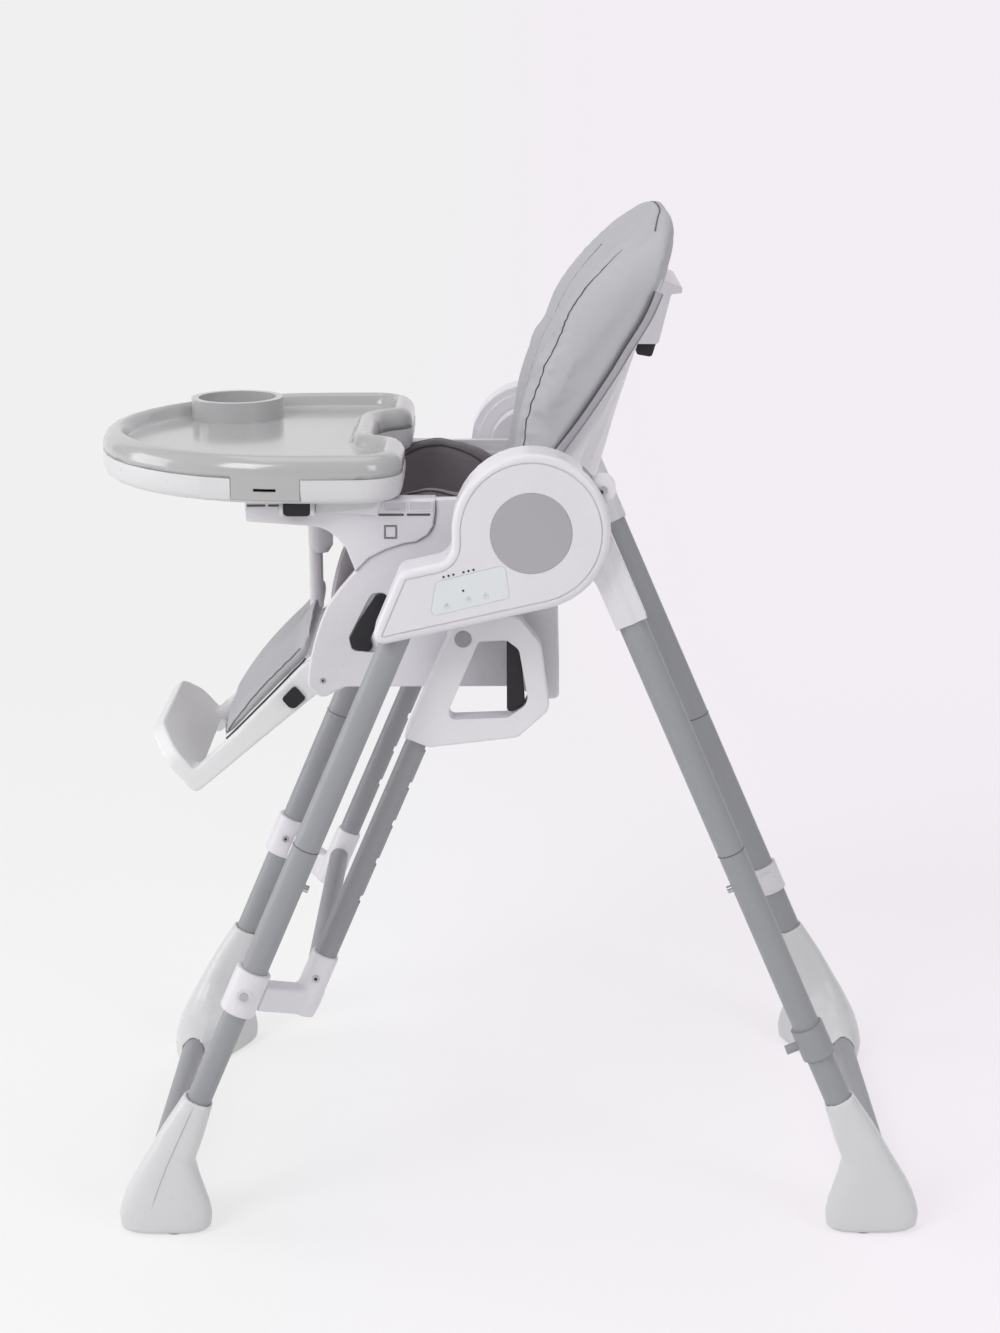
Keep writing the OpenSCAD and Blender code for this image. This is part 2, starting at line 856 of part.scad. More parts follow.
// The same point, counted from the seat's datum
function by_slide(s, t) = by_guide(s, t) - seat_datum;

slide_corners = [
  by_slide(slide_top, -slide_half_t), by_slide(slide_low, -slide_half_t),
  by_slide(slide_low, slide_half_t), by_slide(slide_top, slide_half_t)
];
handle_outline = rounded([
  slide_corners[1], [-77.7, 516.8, 6], [14.4, 527.5, 12], [47.5, 557.4, 14],
  [38.3, 625.4, 22], [14.8, 656, 10], slide_corners[3], slide_corners[0]
]);
window_outline = rounded([
  [-56.7, 557.7, 3], [-55.7, 547, 6], [4.2, 549, 12], [25.5, 564, 14], [15.7, 621.3, 10],
  [3.4, 630.8, 4], [-25.6, 629.8, 4]
]);
trigger_y = 218;
pocket_half = trigger_thick / 2 + button_play;
latch_tip = by_slide(latch_s, guide_r + button_play);
latch_thick = 8;
slide_skin = 6;
stem_left = 8;
stem_width = 8;
grip_top = latch_tip.y - 3.5;
stem_foot = grip_top - 11.5;
latch_arm = [
  latch_tip, [stem_left + stem_width, latch_tip.y],
  [stem_left + stem_width, latch_tip.y + latch_thick],
  latch_tip + latch_thick * [tan(leg_tilt), 1]
];
grip_outline = rounded([
  [3, grip_top - 77, 4], [22, grip_top - 66.5, 8], [16.5, grip_top - 6.5, 8],
  [3, grip_top, 3]
]);

module slider_body() {
  difference() {
    union() {
      plate(slide_inner, slide_outer - slide_skin) polygon(slide_corners);
      plate(handle_inner, slide_outer - slide_skin) polygon(handle_outline);
      beside(slide_outer - slide_skin) soft_slab(handle_outline, 0, slide_skin, 0, 2.4);
    }
    plate(handle_inner - 1, slide_outer + 1) polygon(window_outline);
    plate(trigger_y - pocket_half, trigger_y + pocket_half) {
      polygon([for (p = inset_outline(grip_outline, -button_play))
        p.x > stem_left ? p + [trigger_travel, 0] : p]);
      translate([latch_tip.x - 4, stem_foot])
        square([stem_left + stem_width + trigger_travel + button_play - latch_tip.x + 4,
          latch_tip.y + latch_thick + button_play - stem_foot]);
    }
    rod(slide_cap_at.x, slide_cap_at.y, slide_outer - cap_depth, slide_outer + 1,
      cap_r + tube_play);
  }
}

module height_slider() {
  color(white) difference() {
    with_seat() slider_body();
    on_guide(slide_low + 1) cylinder(r = guide_r + slide_play, h = slide_low + 2 - slide_top + 4);
  }
}

cap_r = 8.5;
cap_depth = 3;
slide_cap_at = by_slide(141, 0);

module slider_caps() {
  color(light_grey) with_seat() {
    rod(slide_cap_at.x, slide_cap_at.y, slide_outer - cap_depth, slide_outer + 0.6, cap_r);
    on_right()
      rod(slide_cap_at.x, slide_cap_at.y, slide_outer - cap_depth, slide_outer + 0.6, cap_r);
  }
}

module height_trigger() {
  color(black) with_seat() plate(trigger_y - trigger_thick / 2, trigger_y + trigger_thick / 2) {
    polygon(grip_outline);
    translate([stem_left, stem_foot])
      square([stem_width, latch_tip.y + latch_thick / 2 - stem_foot]);
    polygon(latch_arm);
  }
}

// ---- seat ----

seat_line = [
  [-153, 695], [-138.5, 709], [-122, 717.5], [-104, 723.6], [-90, 725.7], [-78, 733],
  [-72, 742.4], [-70, 757], [-70, armrest_top]
];
seat_side = rounded(concat(
  [for (i = [len(seat_line) - 1:-1:0]) seat_line[i]],
  [
    [-170, 675], [-183.3, 657], [-192, 636], [-197.6, 618], [-202, 600], [-204, 587],
    [-205, 571, 8], [-191, 557.5, 10], [-166, 570.5, 10], [12, 570.5, 12], [36, 557, 12],
    [57.5, 557, 6], [57.5, 600], [56, 666], [48, 712], [36, armrest_top, 26]
  ]
));
seat_outer = 188;
seat_edge = 2.5;
grip_corners = rounded([
  [-121, 672, 5], [-137, 671, 8], [-161, 624, 6], [-158, 610, 5], [-128, 607, 5], [-138, 625, 8]
]);
grip_depth = 3;

module seat_side_wall() {
  difference() {
    beside(seat_inner) soft_slab(seat_side, 0, seat_outer - seat_inner, 0, seat_edge);
    rod(recline_x, recline_z, seat_inner - 1, seat_outer - 2, recline_pin_r + bearing_play);
    plate(seat_outer - grip_depth, seat_outer + 1) polygon(grip_corners);
  }
}

lug_inner = rest_outer + 1;
lug_thick = 9;
lug_r = 13;
pan_outline = rounded([
  [pan_front, -seat_inner, 4], [pan_rear, -seat_inner, 4],
  [pan_rear, seat_inner, 4], [pan_front, seat_inner, 4]
]);

module rest_lug() {
  difference() {
    union() {
      rod(rest_x, rest_z, lug_inner, lug_inner + lug_thick, lug_r);
      plate(lug_inner, lug_inner + lug_thick)
        translate([rest_x - 4, rest_z]) square([40, pan_bottom + 2 - rest_z]);
    }
    rod(rest_x, rest_z, lug_inner - 1, lug_inner + lug_thick + 1, rest_pin_r + bearing_play);
  }
}

rib_thick = 3;

module seat_shell() {
  color(white) with_seat() union() {
    seat_side_wall();
    on_right() seat_side_wall();
    translate([0, 0, pan_bottom]) linear_extrude(pan_thick) polygon(pan_outline);
    for (x = [-120, -40, 40])
      translate([x, -seat_inner, pan_bottom - 18]) cube([rib_thick, 2 * seat_inner, 20]);
    rest_lug();
    on_right() rest_lug();
  }
}

module seat_grips() {
  color(black) with_seat() {
    plate(seat_outer - grip_depth, seat_outer - 1)
      polygon(inset_outline(grip_corners, tube_play));
    on_right() plate(seat_outer - grip_depth, seat_outer - 1)
      polygon(inset_outline(grip_corners, tube_play));
  }
}

armrest_outline = rounded(concat(
  seat_line,
  [
    [-265, armrest_top, 3], [-265, 747.5, 3], [-190, 741.7, 12], [-180, 737], [-170, 729],
    [-162, 718.6], [-157, 706]
  ]
));
groove_bottom = 755;
groove_height = 10;
groove_depth = 7;
rail_slots = [[-263, -244], [-241, -226], [-128, -102], [-99, -75]];
rail_slot_z = [763.3, 763.3, 753.3, 753.3];

module armrest() {
  outer = armrest_inner + armrest_thick;
  color(white) with_seat() difference() {
    beside(armrest_inner) soft_slab(armrest_outline, 0, armrest_thick, 0, 2);
    plate(armrest_inner - 1, armrest_inner + groove_depth)
      translate([-270, groove_bottom]) square([195, groove_height]);
    for (i = [0:3])
      plate(outer - 2, outer + 1) translate([rail_slots[i].x, rail_slot_z[i]])
        square([rail_slots[i].y - rail_slots[i].x, 1.6]);
    plate(outer - 1.5, outer + 1) translate([-122.6, 729]) difference() {
      square([13.6, 14.6]);
      translate([2, 2]) square([9.6, 10.6]);
    }
  }
}

cushion_outline = rounded([
  [-178, -cushion_half, 22], [16, -cushion_half, 30], [16, cushion_half, 30],
  [-178, cushion_half, 22]
]);
cushion_levels = [[6, 0], [1, 0.18], [0, 0.45], [2, 0.75], [7, 0.93], [16, 1]];
pan_top = pan_bottom + pan_thick;

function cushion_height(x) =
  cushion_rear + (cushion_front - cushion_rear) * pow(min(1, max(0, (16 - x) / 194)), 1.5);

wing_outline = rounded([
  [-8, pan_top + 0.1, 7], [-8, 777, 14], [-82, 777, 12], [-100, 766, 14], [-148, 763, 14],
  [-163, 722], [-172, 696], [-180, 660, 10], [-178, pan_top + 0.1, 8]
]);

module seat_wing() {
  beside(cushion_half + 2) soft_slab(wing_outline, 0, wing_thick, 4, 6);
}

module seat_pad() {
  color(dark_fabric) with_seat() {
    loft([for (e = cushion_levels)
      [for (p = inset_outline(cushion_outline, e.x))
        [p.x, p.y, pan_top + 0.1 + e.y * cushion_height(p.x)]]]);
    seat_wing();
    on_right() seat_wing();
  }
}

// ---- backrest ----

// Height, front edge, rear face and half width of the backrest shell
back_levels = [
  [640, 24, 56, 160], [662, 12, 66, 165], [700, 10, 77, back_half], [740, 16, 90, back_half],
  [780, 30, 101, back_half], [812, 49, 110, back_half], [846, 74, 119, back_half],
  [880, 97, 129, back_half], [912, 119, 138, back_half], [945, 137, 149, 166],
  [968, 150, 159, 163], [990, 158, 167, 158]
];
// Height, front face, rear face and half width of the backrest cushion
cushion_back = [
  [664, 13, 44, 145], [672, 7, 56, 153], [700, 2, 66, 157.5], [750, 0, 84, 159.5],
  [800, 2, 98, 160.5], [840, 10, 110, 160.5], [880, 24, 121, 160.5], [920, 40, 133, 160],
  [960, 61, 149, 157.5], [990, 81, 160, 156], [1012, 99, 168, 150], [1032, 119, 174, 139],
  [1048, 138, 176, 122], [1058, 152, 174, 98], [1063, 160, 170, 60]
];
back_arc = [-90, -76, -60, -42, -22, 0, 22, 42, 60, 76, 90];

function back_curve(e, wall) =
  [for (a = back_arc)
    [e[1] + (e[2] - e[1] - wall) * pow(cos(a), 0.42),
     (e[3] - wall) * sign(a) * pow(abs(sin(a)), 0.6), e[0]]];

function back_ring(e) =
  let (skin = back_curve(e, 0), lining = back_curve(e, back_wall))
  concat(skin, [for (i = [len(lining) - 1:-1:0]) lining[i]]);

function pad_ring(e) =
  let (
    mid = (e[1] + e[2]) / 2,
    half = (e[2] - e[1]) / 2,
    hollow = min(9, half / 2)
  )
  [for (i = [0:31])
    let (
      a = 360 * (i + 0.5) / 32,
      c = sign(cos(a)) * pow(abs(cos(a)), 0.5),
      s = sign(sin(a)) * pow(abs(sin(a)), 0.6),
      dish = c < 0 ? hollow * (1 - s * s) * -c : 0
    )
    [mid + half * c + dish - (c < 0 ? hollow * 0.6 * -c : 0), e[3] * s, e[0]]];

ear_r = 15;
ear_inner = 152;
ear_outer = 172;

module back_ear() {
  rod(recline_x, recline_z, ear_inner, ear_outer, ear_r);
  rod(recline_x, recline_z, ear_outer, seat_outer - 3, recline_pin_r);
}

grip_box = rounded([
  [139, 914], [163, 914, 4], [176, 966, 3], [187, 967, 2], [188, 973, 2], [166, 981, 3],
  [158, 975]
]);

module back_shell() {
  color(white) with_seat() difference() {
    union() {
      loft([for (e = back_levels) back_ring(e)], true);
      back_ear();
      on_right() back_ear();
      plate(-handle_half, handle_half) polygon(grip_box);
    }
    plate(-handle_half + 4, handle_half - 4)
      translate([lever_left - button_play, 900])
        square([lever_width + 2 * button_play, lever_top + lever_travel + button_play - 900]);
  }
}

module back_pad() {
  color(fabric_grey) with_seat() loft([for (e = cushion_back) pad_ring(e)]);
}

lever_left = 142;
lever_width = 15;
lever_top = 922;
lever_travel = 6;
lever_half = handle_half - 4 - button_play;

module recline_lever() {
  color(black) with_seat() plate(-lever_half, lever_half) polygon(rounded([
    [lever_left, 902, 3], [lever_left + lever_width - 1, 902, 3],
    [lever_left + lever_width, lever_top], [lever_left, lever_top]
  ]));
}

// ---- leg rest ----

// Origin at the corner under the toes, X up along the leg rest
module in_leg_rest() {
  translate([
    rest_x - rest_length * cos(rest_slope) + rest_rise * sin(rest_slope), 0,
    rest_z - rest_length * sin(rest_slope) - rest_rise * cos(rest_slope)
  ]) rotate([0, -rest_slope, 0]) children();
}

rest_arm = rounded([
  [0, 0, 3], [rest_length - 6, -2.5, 10], [rest_length, 29, 6], [182, 31.8], [165, 30.2],
  [138, 27.7], [105, 25], [80, 23], [60, 22.1], [0, 21, 3]
]);
toe_thick = 14;
toe_height = 78;
toe_outline = rounded([
  [-rest_outer, 0, 6], [rest_outer, 0, 6], [rest_outer, 52, 26], [96, toe_height, 40],
  [-96, toe_height, 40], [-rest_outer, 52, 26]
]);
button_outline = rounded([
  [142, 2, 7], [162, 2.5, 3], [162, 21, 3], [142, 19, 3]
]);
button_travel = 3;

module rest_arm_side() {
  inner = rest_outer - rest_arm_thick;
  difference() {
    union() {
      plate(inner, rest_outer) polygon(rest_arm);
      rod(rest_length, rest_rise, inner, rest_outer, 16);
      rod(rest_length, rest_rise, rest_outer, lug_inner + lug_thick, rest_pin_r);
    }
    plate(rest_outer - 8, rest_outer + 1) polygon(inset_outline(button_outline, -button_play));
  }
}

module leg_rest_frame() {
  color(white) with_seat() in_leg_rest() union() {
    rest_arm_side();
    on_right() rest_arm_side();
    rotate([90, 0, 90]) soft_slab(toe_outline, 0, toe_thick, 3, 5);
    translate([toe_thick - 1, -rest_outer + 1, 0]) cube([36, 2 * rest_outer - 2, 4]);
  }
}

// Distance up the leg rest, underside, top and half width of its cushion
rest_pad_levels = [
  [60, 22.4, 24.5, rest_pad_half - 19], [64, 22.5, 30, rest_pad_half - 11],
  [80, 23.3, 36, rest_pad_half - 4], [105, 25.3, 51, rest_pad_half - 1],
  [138, 28, 61.5, rest_pad_half], [165, 30.5, 67, rest_pad_half],
  [190, 33.6, 71.5, rest_pad_half - 1], [208, 47, 73.5, rest_pad_half - 3],
  [222, 60, 74, rest_pad_half - 7], [229, 68, 73.5, rest_pad_half - 15]
];
rest_raise = 20;
slot_gap = 3;

function rest_pad_ring(e) =
  [for (i = [0:ring_points - 1])
    let (
      a = 360 * (i + 0.5) / ring_points,
      mid = (e[1] + e[2]) / 2,
      c = sign(cos(a)) * pow(abs(cos(a)), 0.5),
      s = sin(a) < 0 ? max(-1, 3.5 * sin(a)) : pow(sin(a), 0.7)
    )
    [e[0], e[3] * c, mid + (e[2] - e[1]) / 2 * s]];

// Room for the post in the cushion, with the leg rest level and raised
module post_slot() {
  half = post_d / 2 + slot_gap;
  for (a = [0, rest_raise])
    translate([rest_x, -half, rest_z]) rotate([0, -a, 0])
      translate([-200, 0, post_end - slot_gap - rest_z]) cube([300, 2 * half, 60]);
}

module leg_rest_pad() {
  color(fabric_grey) with_seat() difference() {
    in_leg_rest() loft([for (e = rest_pad_levels) rest_pad_ring(e)]);
    post_slot();
  }
}

module leg_button() {
  color(black) with_seat() in_leg_rest()
    plate(rest_outer - 8 + button_travel + 1, rest_outer + button_travel + 1) polygon(button_outline);
}

// ---- trays ----

lobe_r = 48;
belly_half = 70;
lobe_half = 92;

function tray_outline() = concat(
  arc([tray_centre_x, 0], tray_r, 90, 270),
  rounded([
    [tray_centre_x, -tray_r], [tray_rear_x, -tray_r, lobe_r], [tray_rear_x, -lobe_half, 34],
    [belly_x, -belly_half, 36], [belly_x, belly_half, 36], [tray_rear_x, lobe_half, 34],
    [tray_rear_x, tray_r, lobe_r], [tray_centre_x, tray_r]
  ])
);

function clean(p) =
  let (n = len(p))
  [for (i = [0:n - 1]) if (norm(p[i] - p[(i + n - 1) % n]) > 0.5) p[i]];

tray_plan = clean(tray_outline());
base_levels = [[14, 0], [7, 1.2], [3, 4], [1, 9], [0, 18], [0, tray_seam - tray_bottom]];
base_hollow = [[16, 4.5], [7, 8], [4.5, 14], [3.6, 40]];
tab_front = -277;
tab_rear = -205;
tab_bottom = 775.5;
tab_depth = 7;
tab_slot_x = -253;
tab_slot_z = 784.5;
tab_slot_length = 23;
runner_rear = -170;
runner_front = -250;
lever_front = -224;
lever_back = -197;
lever_inner = 193;
lever_outer = 208;
stop_thick = 4;

// Levels: distance in from the edge of the tray, and height above z
module tray_loft(levels, z) {
  loft([for (e = levels) at_height(inset_outline(tray_plan, e.x), z + e.y)], true);
}

module tray_runner() {
  plate(armrest_inner - 7, armrest_inner - 0.5)
    translate([runner_front, groove_bottom + 1]) square([runner_rear - runner_front, 16]);
  plate(armrest_inner - 7, armrest_inner + groove_depth - 1)
    translate([runner_front, groove_bottom + 1]) square([runner_rear - runner_front, groove_height - 2]);
  for (x = [lever_front - button_play - stop_thick, lever_back + button_play])
    plate(lever_inner, 212) translate([x, 757]) square([stop_thick, 16]);
  plate(193, 197) polygon([[-192, 757.5], [-134, 762], [-128, 768], [-128, 772], [-192, 772]]);
}

// The stretch of the rim that the side clips cover
module tab_band(outer, inner, play) {
  intersection() {
    difference() {
      polygon(inset_outline(tray_plan, outer));
      polygon(inset_outline(tray_plan, inner));
    }
    for (y = [-1, 1])
      translate([tab_front + play, y * tray_r - 50])
        square([tab_rear - tab_front - 2 * play, 100]);
  }
}

module tray_base() {
  color(white) with_seat() difference() {
    union() {
      difference() {
        tray_loft(base_levels, tray_bottom);
        tray_loft(base_hollow, tray_bottom);
      }
      tray_runner();
      on_right() tray_runner();
      translate([sleeve_x, 0, tray_bottom - 2]) cylinder(r = 17, h = 6.5);
    }
    translate([0, 0, tab_bottom - button_play]) linear_extrude(40)
      tab_band(-2, tab_depth + button_play, 0);
    translate([post_x, 0, tray_bottom - 6]) cylinder(r = post_d / 2 + tube_play, h = 8);
  }
}

post_x = -207.5;
sleeve_r = 13.5;
sleeve_x = post_x + sleeve_r - post_d / 2 - 0.5;
sleeve_end = 676;

module crotch_post() {
  color(white) with_seat() union() {
    translate([post_x, 0, post_end]) cylinder(d = post_d, h = tray_bottom + 2 - post_end);
    translate([sleeve_x, 0, sleeve_end + 8])
      cylinder(r = sleeve_r, h = tray_bottom - 2 - sleeve_end - 8);
    translate([sleeve_x, 0, sleeve_end]) cylinder(r1 = sleeve_r - 5, r2 = sleeve_r, h = 8);
  }
}

cup_centre = [-303, 132];
rim = tray_crest - tray_seam;
top_levels = [
  [5.5, -9], [4.6, 0.3], [0.3, 0.4], [0.2, rim - 17], [1, rim - 11], [4, rim - 5.5],
  [9, rim - 1.5], [15, rim]
];
top_hollow = [
  [29, 8], [27, 8.8], [25, 12], [22, rim - 4], [18.5, rim - 0.7], [15, rim + 0.2],
  [15, rim + 3]
];

module top_tray() {
  color(light_grey) with_seat() difference() {
    union() {
      difference() {
        tray_loft(top_levels, tray_seam);
        tray_loft(top_hollow, tray_seam);
        tray_loft([[9, -10], [8.5, 0], [12, 4.5]], tray_seam);
      }
      translate([cup_centre.x, cup_centre.y, tray_seam - 6])
        cylinder(r = cup_r, h = cup_top - tray_seam + 6);
      translate([0, 0, tab_bottom]) linear_extrude(tray_seam + 4 - tab_bottom)
        tab_band(0.2, tab_depth, button_play);
    }
    translate([cup_centre.x, cup_centre.y, tray_seam - 3])
      cylinder(r = cup_r - cup_wall, h = 60);
    translate([tab_slot_x, -tray_r - 10, tab_slot_z]) cube([tab_slot_length, 30, 3]);
    translate([tab_slot_x, tray_r - 20, tab_slot_z]) cube([tab_slot_length, 30, 3]);
  }
}

module tray_lever() {
  color(black) with_seat() plate(lever_inner + button_play, lever_outer)
    polygon(rounded([
      [lever_front, 756, 4], [lever_back, 756, 4], [lever_back, tray_bottom - button_play],
      [lever_front, tray_bottom - button_play]
    ]));
}

// ---- which part to show ----

front_upper_tube();  // left_front_upper_tube
on_right() front_upper_tube();  // right_front_upper_tube
front_middle_tube();  // left_front_middle_tube
on_right() front_middle_tube();  // right_front_middle_tube
front_lower_tube();  // left_front_lower_tube
on_right() front_lower_tube();  // right_front_lower_tube
front_foot();  // left_front_foot
on_right() front_foot();  // right_front_foot
front_foot_pads();
floor_tube(front_floor_x + floor_tube_shift);  // front_cross_tube
leg_collar();  // left_leg_collar
on_right() leg_collar();  // right_leg_collar
left_hub_shell();
right_hub_shell();
hub_covers();
hub_discs();
control_panel();
swing_drive();
front_fasteners();
rear_socket();  // left_rear_socket
on_right() rear_socket();  // right_rear_socket
rear_upper_tube();  // left_rear_upper_tube
on_right() rear_upper_tube();  // right_rear_upper_tube
rear_lower_tube();  // left_rear_lower_tube
on_right() rear_lower_tube();  // right_rear_lower_tube
rear_foot();  // left_rear_foot
on_right() rear_foot();  // right_rear_foot
rear_foot_pads();
floor_tube(rear_floor_x - floor_tube_shift);  // rear_cross_tube
rear_fasteners();
tray_hooks();
swing_hanger();  // left_swing_hanger
on_right() swing_hanger();  // right_swing_hanger
guide_tube();  // left_guide_tube
on_right() guide_tube();  // right_guide_tube
swing_elbow();  // left_swing_elbow
on_right() swing_elbow();  // right_swing_elbow
swing_cross_tube();
height_slider();  // left_height_slider
on_right() height_slider();  // right_height_slider
slider_caps();
height_trigger();  // left_height_trigger
on_right() height_trigger();  // right_height_trigger
seat_shell();
seat_grips();
armrest();  // left_armrest
on_right() armrest();  // right_armrest
seat_pad();
back_shell();
back_pad();
recline_lever();
leg_rest_frame();
leg_rest_pad();
leg_button();  // left_leg_button
on_right() leg_button();  // right_leg_button
tray_base();
crotch_post();
top_tray();
tray_lever();  // left_tray_lever
on_right() tray_lever();  // right_tray_lever
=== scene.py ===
# Baby high chair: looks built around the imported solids.
# Metres, +Z up, the child faces -X and the near side of the chair is at -Y.
import json
import math
import bpy
import bmesh
from mathutils import Matrix, Vector
from mathutils.bvhtree import BVHTree
from mathutils.kdtree import KDTree


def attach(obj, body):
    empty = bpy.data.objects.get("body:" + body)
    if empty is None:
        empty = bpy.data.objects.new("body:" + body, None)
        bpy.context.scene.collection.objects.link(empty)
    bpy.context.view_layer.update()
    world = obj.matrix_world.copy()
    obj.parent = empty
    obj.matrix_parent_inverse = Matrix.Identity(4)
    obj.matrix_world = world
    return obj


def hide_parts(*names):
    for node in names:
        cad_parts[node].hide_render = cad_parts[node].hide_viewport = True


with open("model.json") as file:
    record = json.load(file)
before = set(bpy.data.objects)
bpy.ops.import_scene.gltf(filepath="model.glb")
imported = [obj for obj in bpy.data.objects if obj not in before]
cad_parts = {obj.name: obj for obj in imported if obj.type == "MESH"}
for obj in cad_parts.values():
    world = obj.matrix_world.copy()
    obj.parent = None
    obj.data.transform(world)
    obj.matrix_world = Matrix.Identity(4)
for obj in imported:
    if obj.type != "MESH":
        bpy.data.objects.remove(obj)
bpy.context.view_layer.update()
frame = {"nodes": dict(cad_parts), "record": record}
record = frame["record"]
scene = bpy.context.scene
print("frame loaded")

legTilt = math.radians(23.2)
sides = ((-1, "Left"), (1, "Right"))
foldAxle = Vector((0.028, 0.0, 0.764))


def paint(red, green, blue):
    # screen values from 0 to 255 to the shader's linear colour
    linear = []
    for value in (red, green, blue):
        v = value / 255
        linear.append(v / 12.92 if v < 0.04045 else ((v + 0.055) / 1.055) ** 2.4)
    return (*linear, 1.0)


# shader helpers


def makeGroup(name, ins, outs):
    group = bpy.data.node_groups.new(name, "ShaderNodeTree")
    for label, kind, value in ins:
        socket = group.interface.new_socket(label, in_out="INPUT", socket_type="NodeSocket" + kind)
        socket.default_value = value
    for label, kind in outs:
        group.interface.new_socket(label, in_out="OUTPUT", socket_type="NodeSocket" + kind)
    return group, group.nodes.new("NodeGroupInput"), group.nodes.new("NodeGroupOutput")


def noiseNode(tree, scale, detail, rough=0.5):
    node = tree.nodes.new("ShaderNodeTexNoise")
    node.inputs["Scale"].default_value = scale
    node.inputs["Detail"].default_value = detail
    node.inputs["Roughness"].default_value = rough
    return node


def rangeNode(tree, source, low, high):
    # takes the middle of a noise to low..high, and low or high may be a socket
    node = tree.nodes.new("ShaderNodeMapRange")
    node.inputs["From Min"].default_value = 0.3
    node.inputs["From Max"].default_value = 0.7
    for label, value in (("To Min", low), ("To Max", high)):
        if isinstance(value, (int, float)):
            node.inputs[label].default_value = value
        else:
            tree.links.new(value, node.inputs[label])
    tree.links.new(source, node.inputs["Value"])
    return node.outputs["Result"]


def mathNode(tree, operation, a, b):
    node = tree.nodes.new("ShaderNodeMath")
    node.operation = operation
    for socket, value in zip(node.inputs, (a, b)):
        if isinstance(value, (int, float)):
            socket.default_value = value
        else:
            tree.links.new(value, socket)
    return node.outputs[0]


def mixColour(tree, factor, a, b):
    node = tree.nodes.new("ShaderNodeMix")
    node.data_type = "RGBA"
    for socket, value in ((node.inputs["Factor"], factor), (node.inputs["A"], a), (node.inputs["B"], b)):
        if isinstance(value, (int, float, tuple)):
            socket.default_value = value
        else:
            tree.links.new(value, socket)
    return node.outputs["Result"]


# camera, light and floor

view = {
    "place": (0.01264, -2.9140, 1.29438),
    "turn": -0.006144,
    "dip": 0.249309,
    "lean": -0.004279,
    "lens": 72.92,
}


def setCamera(v):
    cameraData = bpy.data.cameras.new("camera")
    cameraData.sensor_fit = "VERTICAL"
    cameraData.sensor_height = 36
    cameraData.lens = v["lens"]
    cameraData.clip_end = 60
    camera = bpy.data.objects.new("camera", cameraData)
    camera.matrix_world = (
        Matrix.Translation(v["place"])
        @ Matrix.Rotation(-v["turn"], 4, "Z")
        @ Matrix.Rotation(math.pi / 2 - v["dip"], 4, "X")
        @ Matrix.Rotation(v["lean"], 4, "Z")
    )
    scene.collection.objects.link(camera)
    scene.camera = camera


setCamera(view)
scene.view_settings.view_transform = "Standard"

studio = {
    "sky": 0.37,
    "paper": (0.871, 0.871, 0.871, 1.0),
    "paperRight": (0.896, 0.847, 0.905, 1.0),
    "paperLit": 0.90,
    "shadowShare": 0.34,
    "shadowReach": (0.9, 2.6),
    "glowLift": 0.33,
    "lamps": [
        ("keyLamp", (-2.4, -2.8, 3.2), (0.0, 0.0, 0.6), (1.6, 2.2), 70),
        ("fillLamp", (2.6, -2.8, 2.6), (0.0, 0.0, 0.6), (1.4, 2.0), 34),
        ("topLamp", (0.0, 0.4, 4.2), (0.0, 0.0, 0.0), (3.0, 3.0), 36),
        ("sideLamp", (-3.2, 0.2, 1.2), (0.0, 0.0, 0.6), (1.6, 1.8), 28),
    ],
}


def addLamp(name, place, target, size, power):
    lamp = bpy.data.lights.new(name, "AREA")
    lamp.shape = "RECTANGLE"
    lamp.size, lamp.size_y = size
    lamp.energy = power
    holder = bpy.data.objects.new(name, lamp)
    holder.location = place
    holder.rotation_euler = (Vector(target) - Vector(place)).to_track_quat("-Z", "Y").to_euler()
    scene.collection.objects.link(holder)


def paperColour(tree, s):
    # the paper turns faintly lilac towards +X
    coords = tree.nodes.new("ShaderNodeTexCoord")
    split = tree.nodes.new("ShaderNodeSeparateXYZ")
    ramp = tree.nodes.new("ShaderNodeMapRange")
    ramp.inputs["From Min"].default_value = -0.5
    ramp.inputs["From Max"].default_value = 0.5
    tree.links.new(coords.outputs["Object"], split.inputs[0])
    tree.links.new(split.outputs["X"], ramp.inputs["Value"])
    return mixColour(tree, ramp.outputs["Result"], s["paper"], s["paperRight"])


def seenByEye(tree):
    # 1 for rays that show the background itself: camera, mirror and glass rays
    path = tree.nodes.new("ShaderNodeLightPath").outputs
    seen = mathNode(tree, "MAXIMUM", path["Is Camera Ray"], path["Is Glossy Ray"])
    return mathNode(tree, "MAXIMUM", seen, path["Is Transmission Ray"])


def setSky(s):
    world = bpy.data.worlds.new("studio")
    scene.world = world
    world.use_nodes = True
    tree = world.node_tree
    back = tree.nodes["Background"]
    back.inputs["Color"].default_value = (1, 1, 1, 1)
    back.inputs["Strength"].default_value = s["sky"]
    paperLight = tree.nodes.new("ShaderNodeBackground")
    paperLight.inputs["Color"].default_value = s["paper"]
    choose = tree.nodes.new("ShaderNodeMixShader")
    path = tree.nodes.new("ShaderNodeLightPath")
    tree.links.new(path.outputs["Is Camera Ray"], choose.inputs["Fac"])
    tree.links.new(back.outputs[0], choose.inputs[1])
    tree.links.new(paperLight.outputs[0], choose.inputs[2])
    tree.links.new(choose.outputs[0], tree.nodes["World Output"].inputs["Surface"])
    for lamp in s["lamps"]:
        addLamp(*lamp)


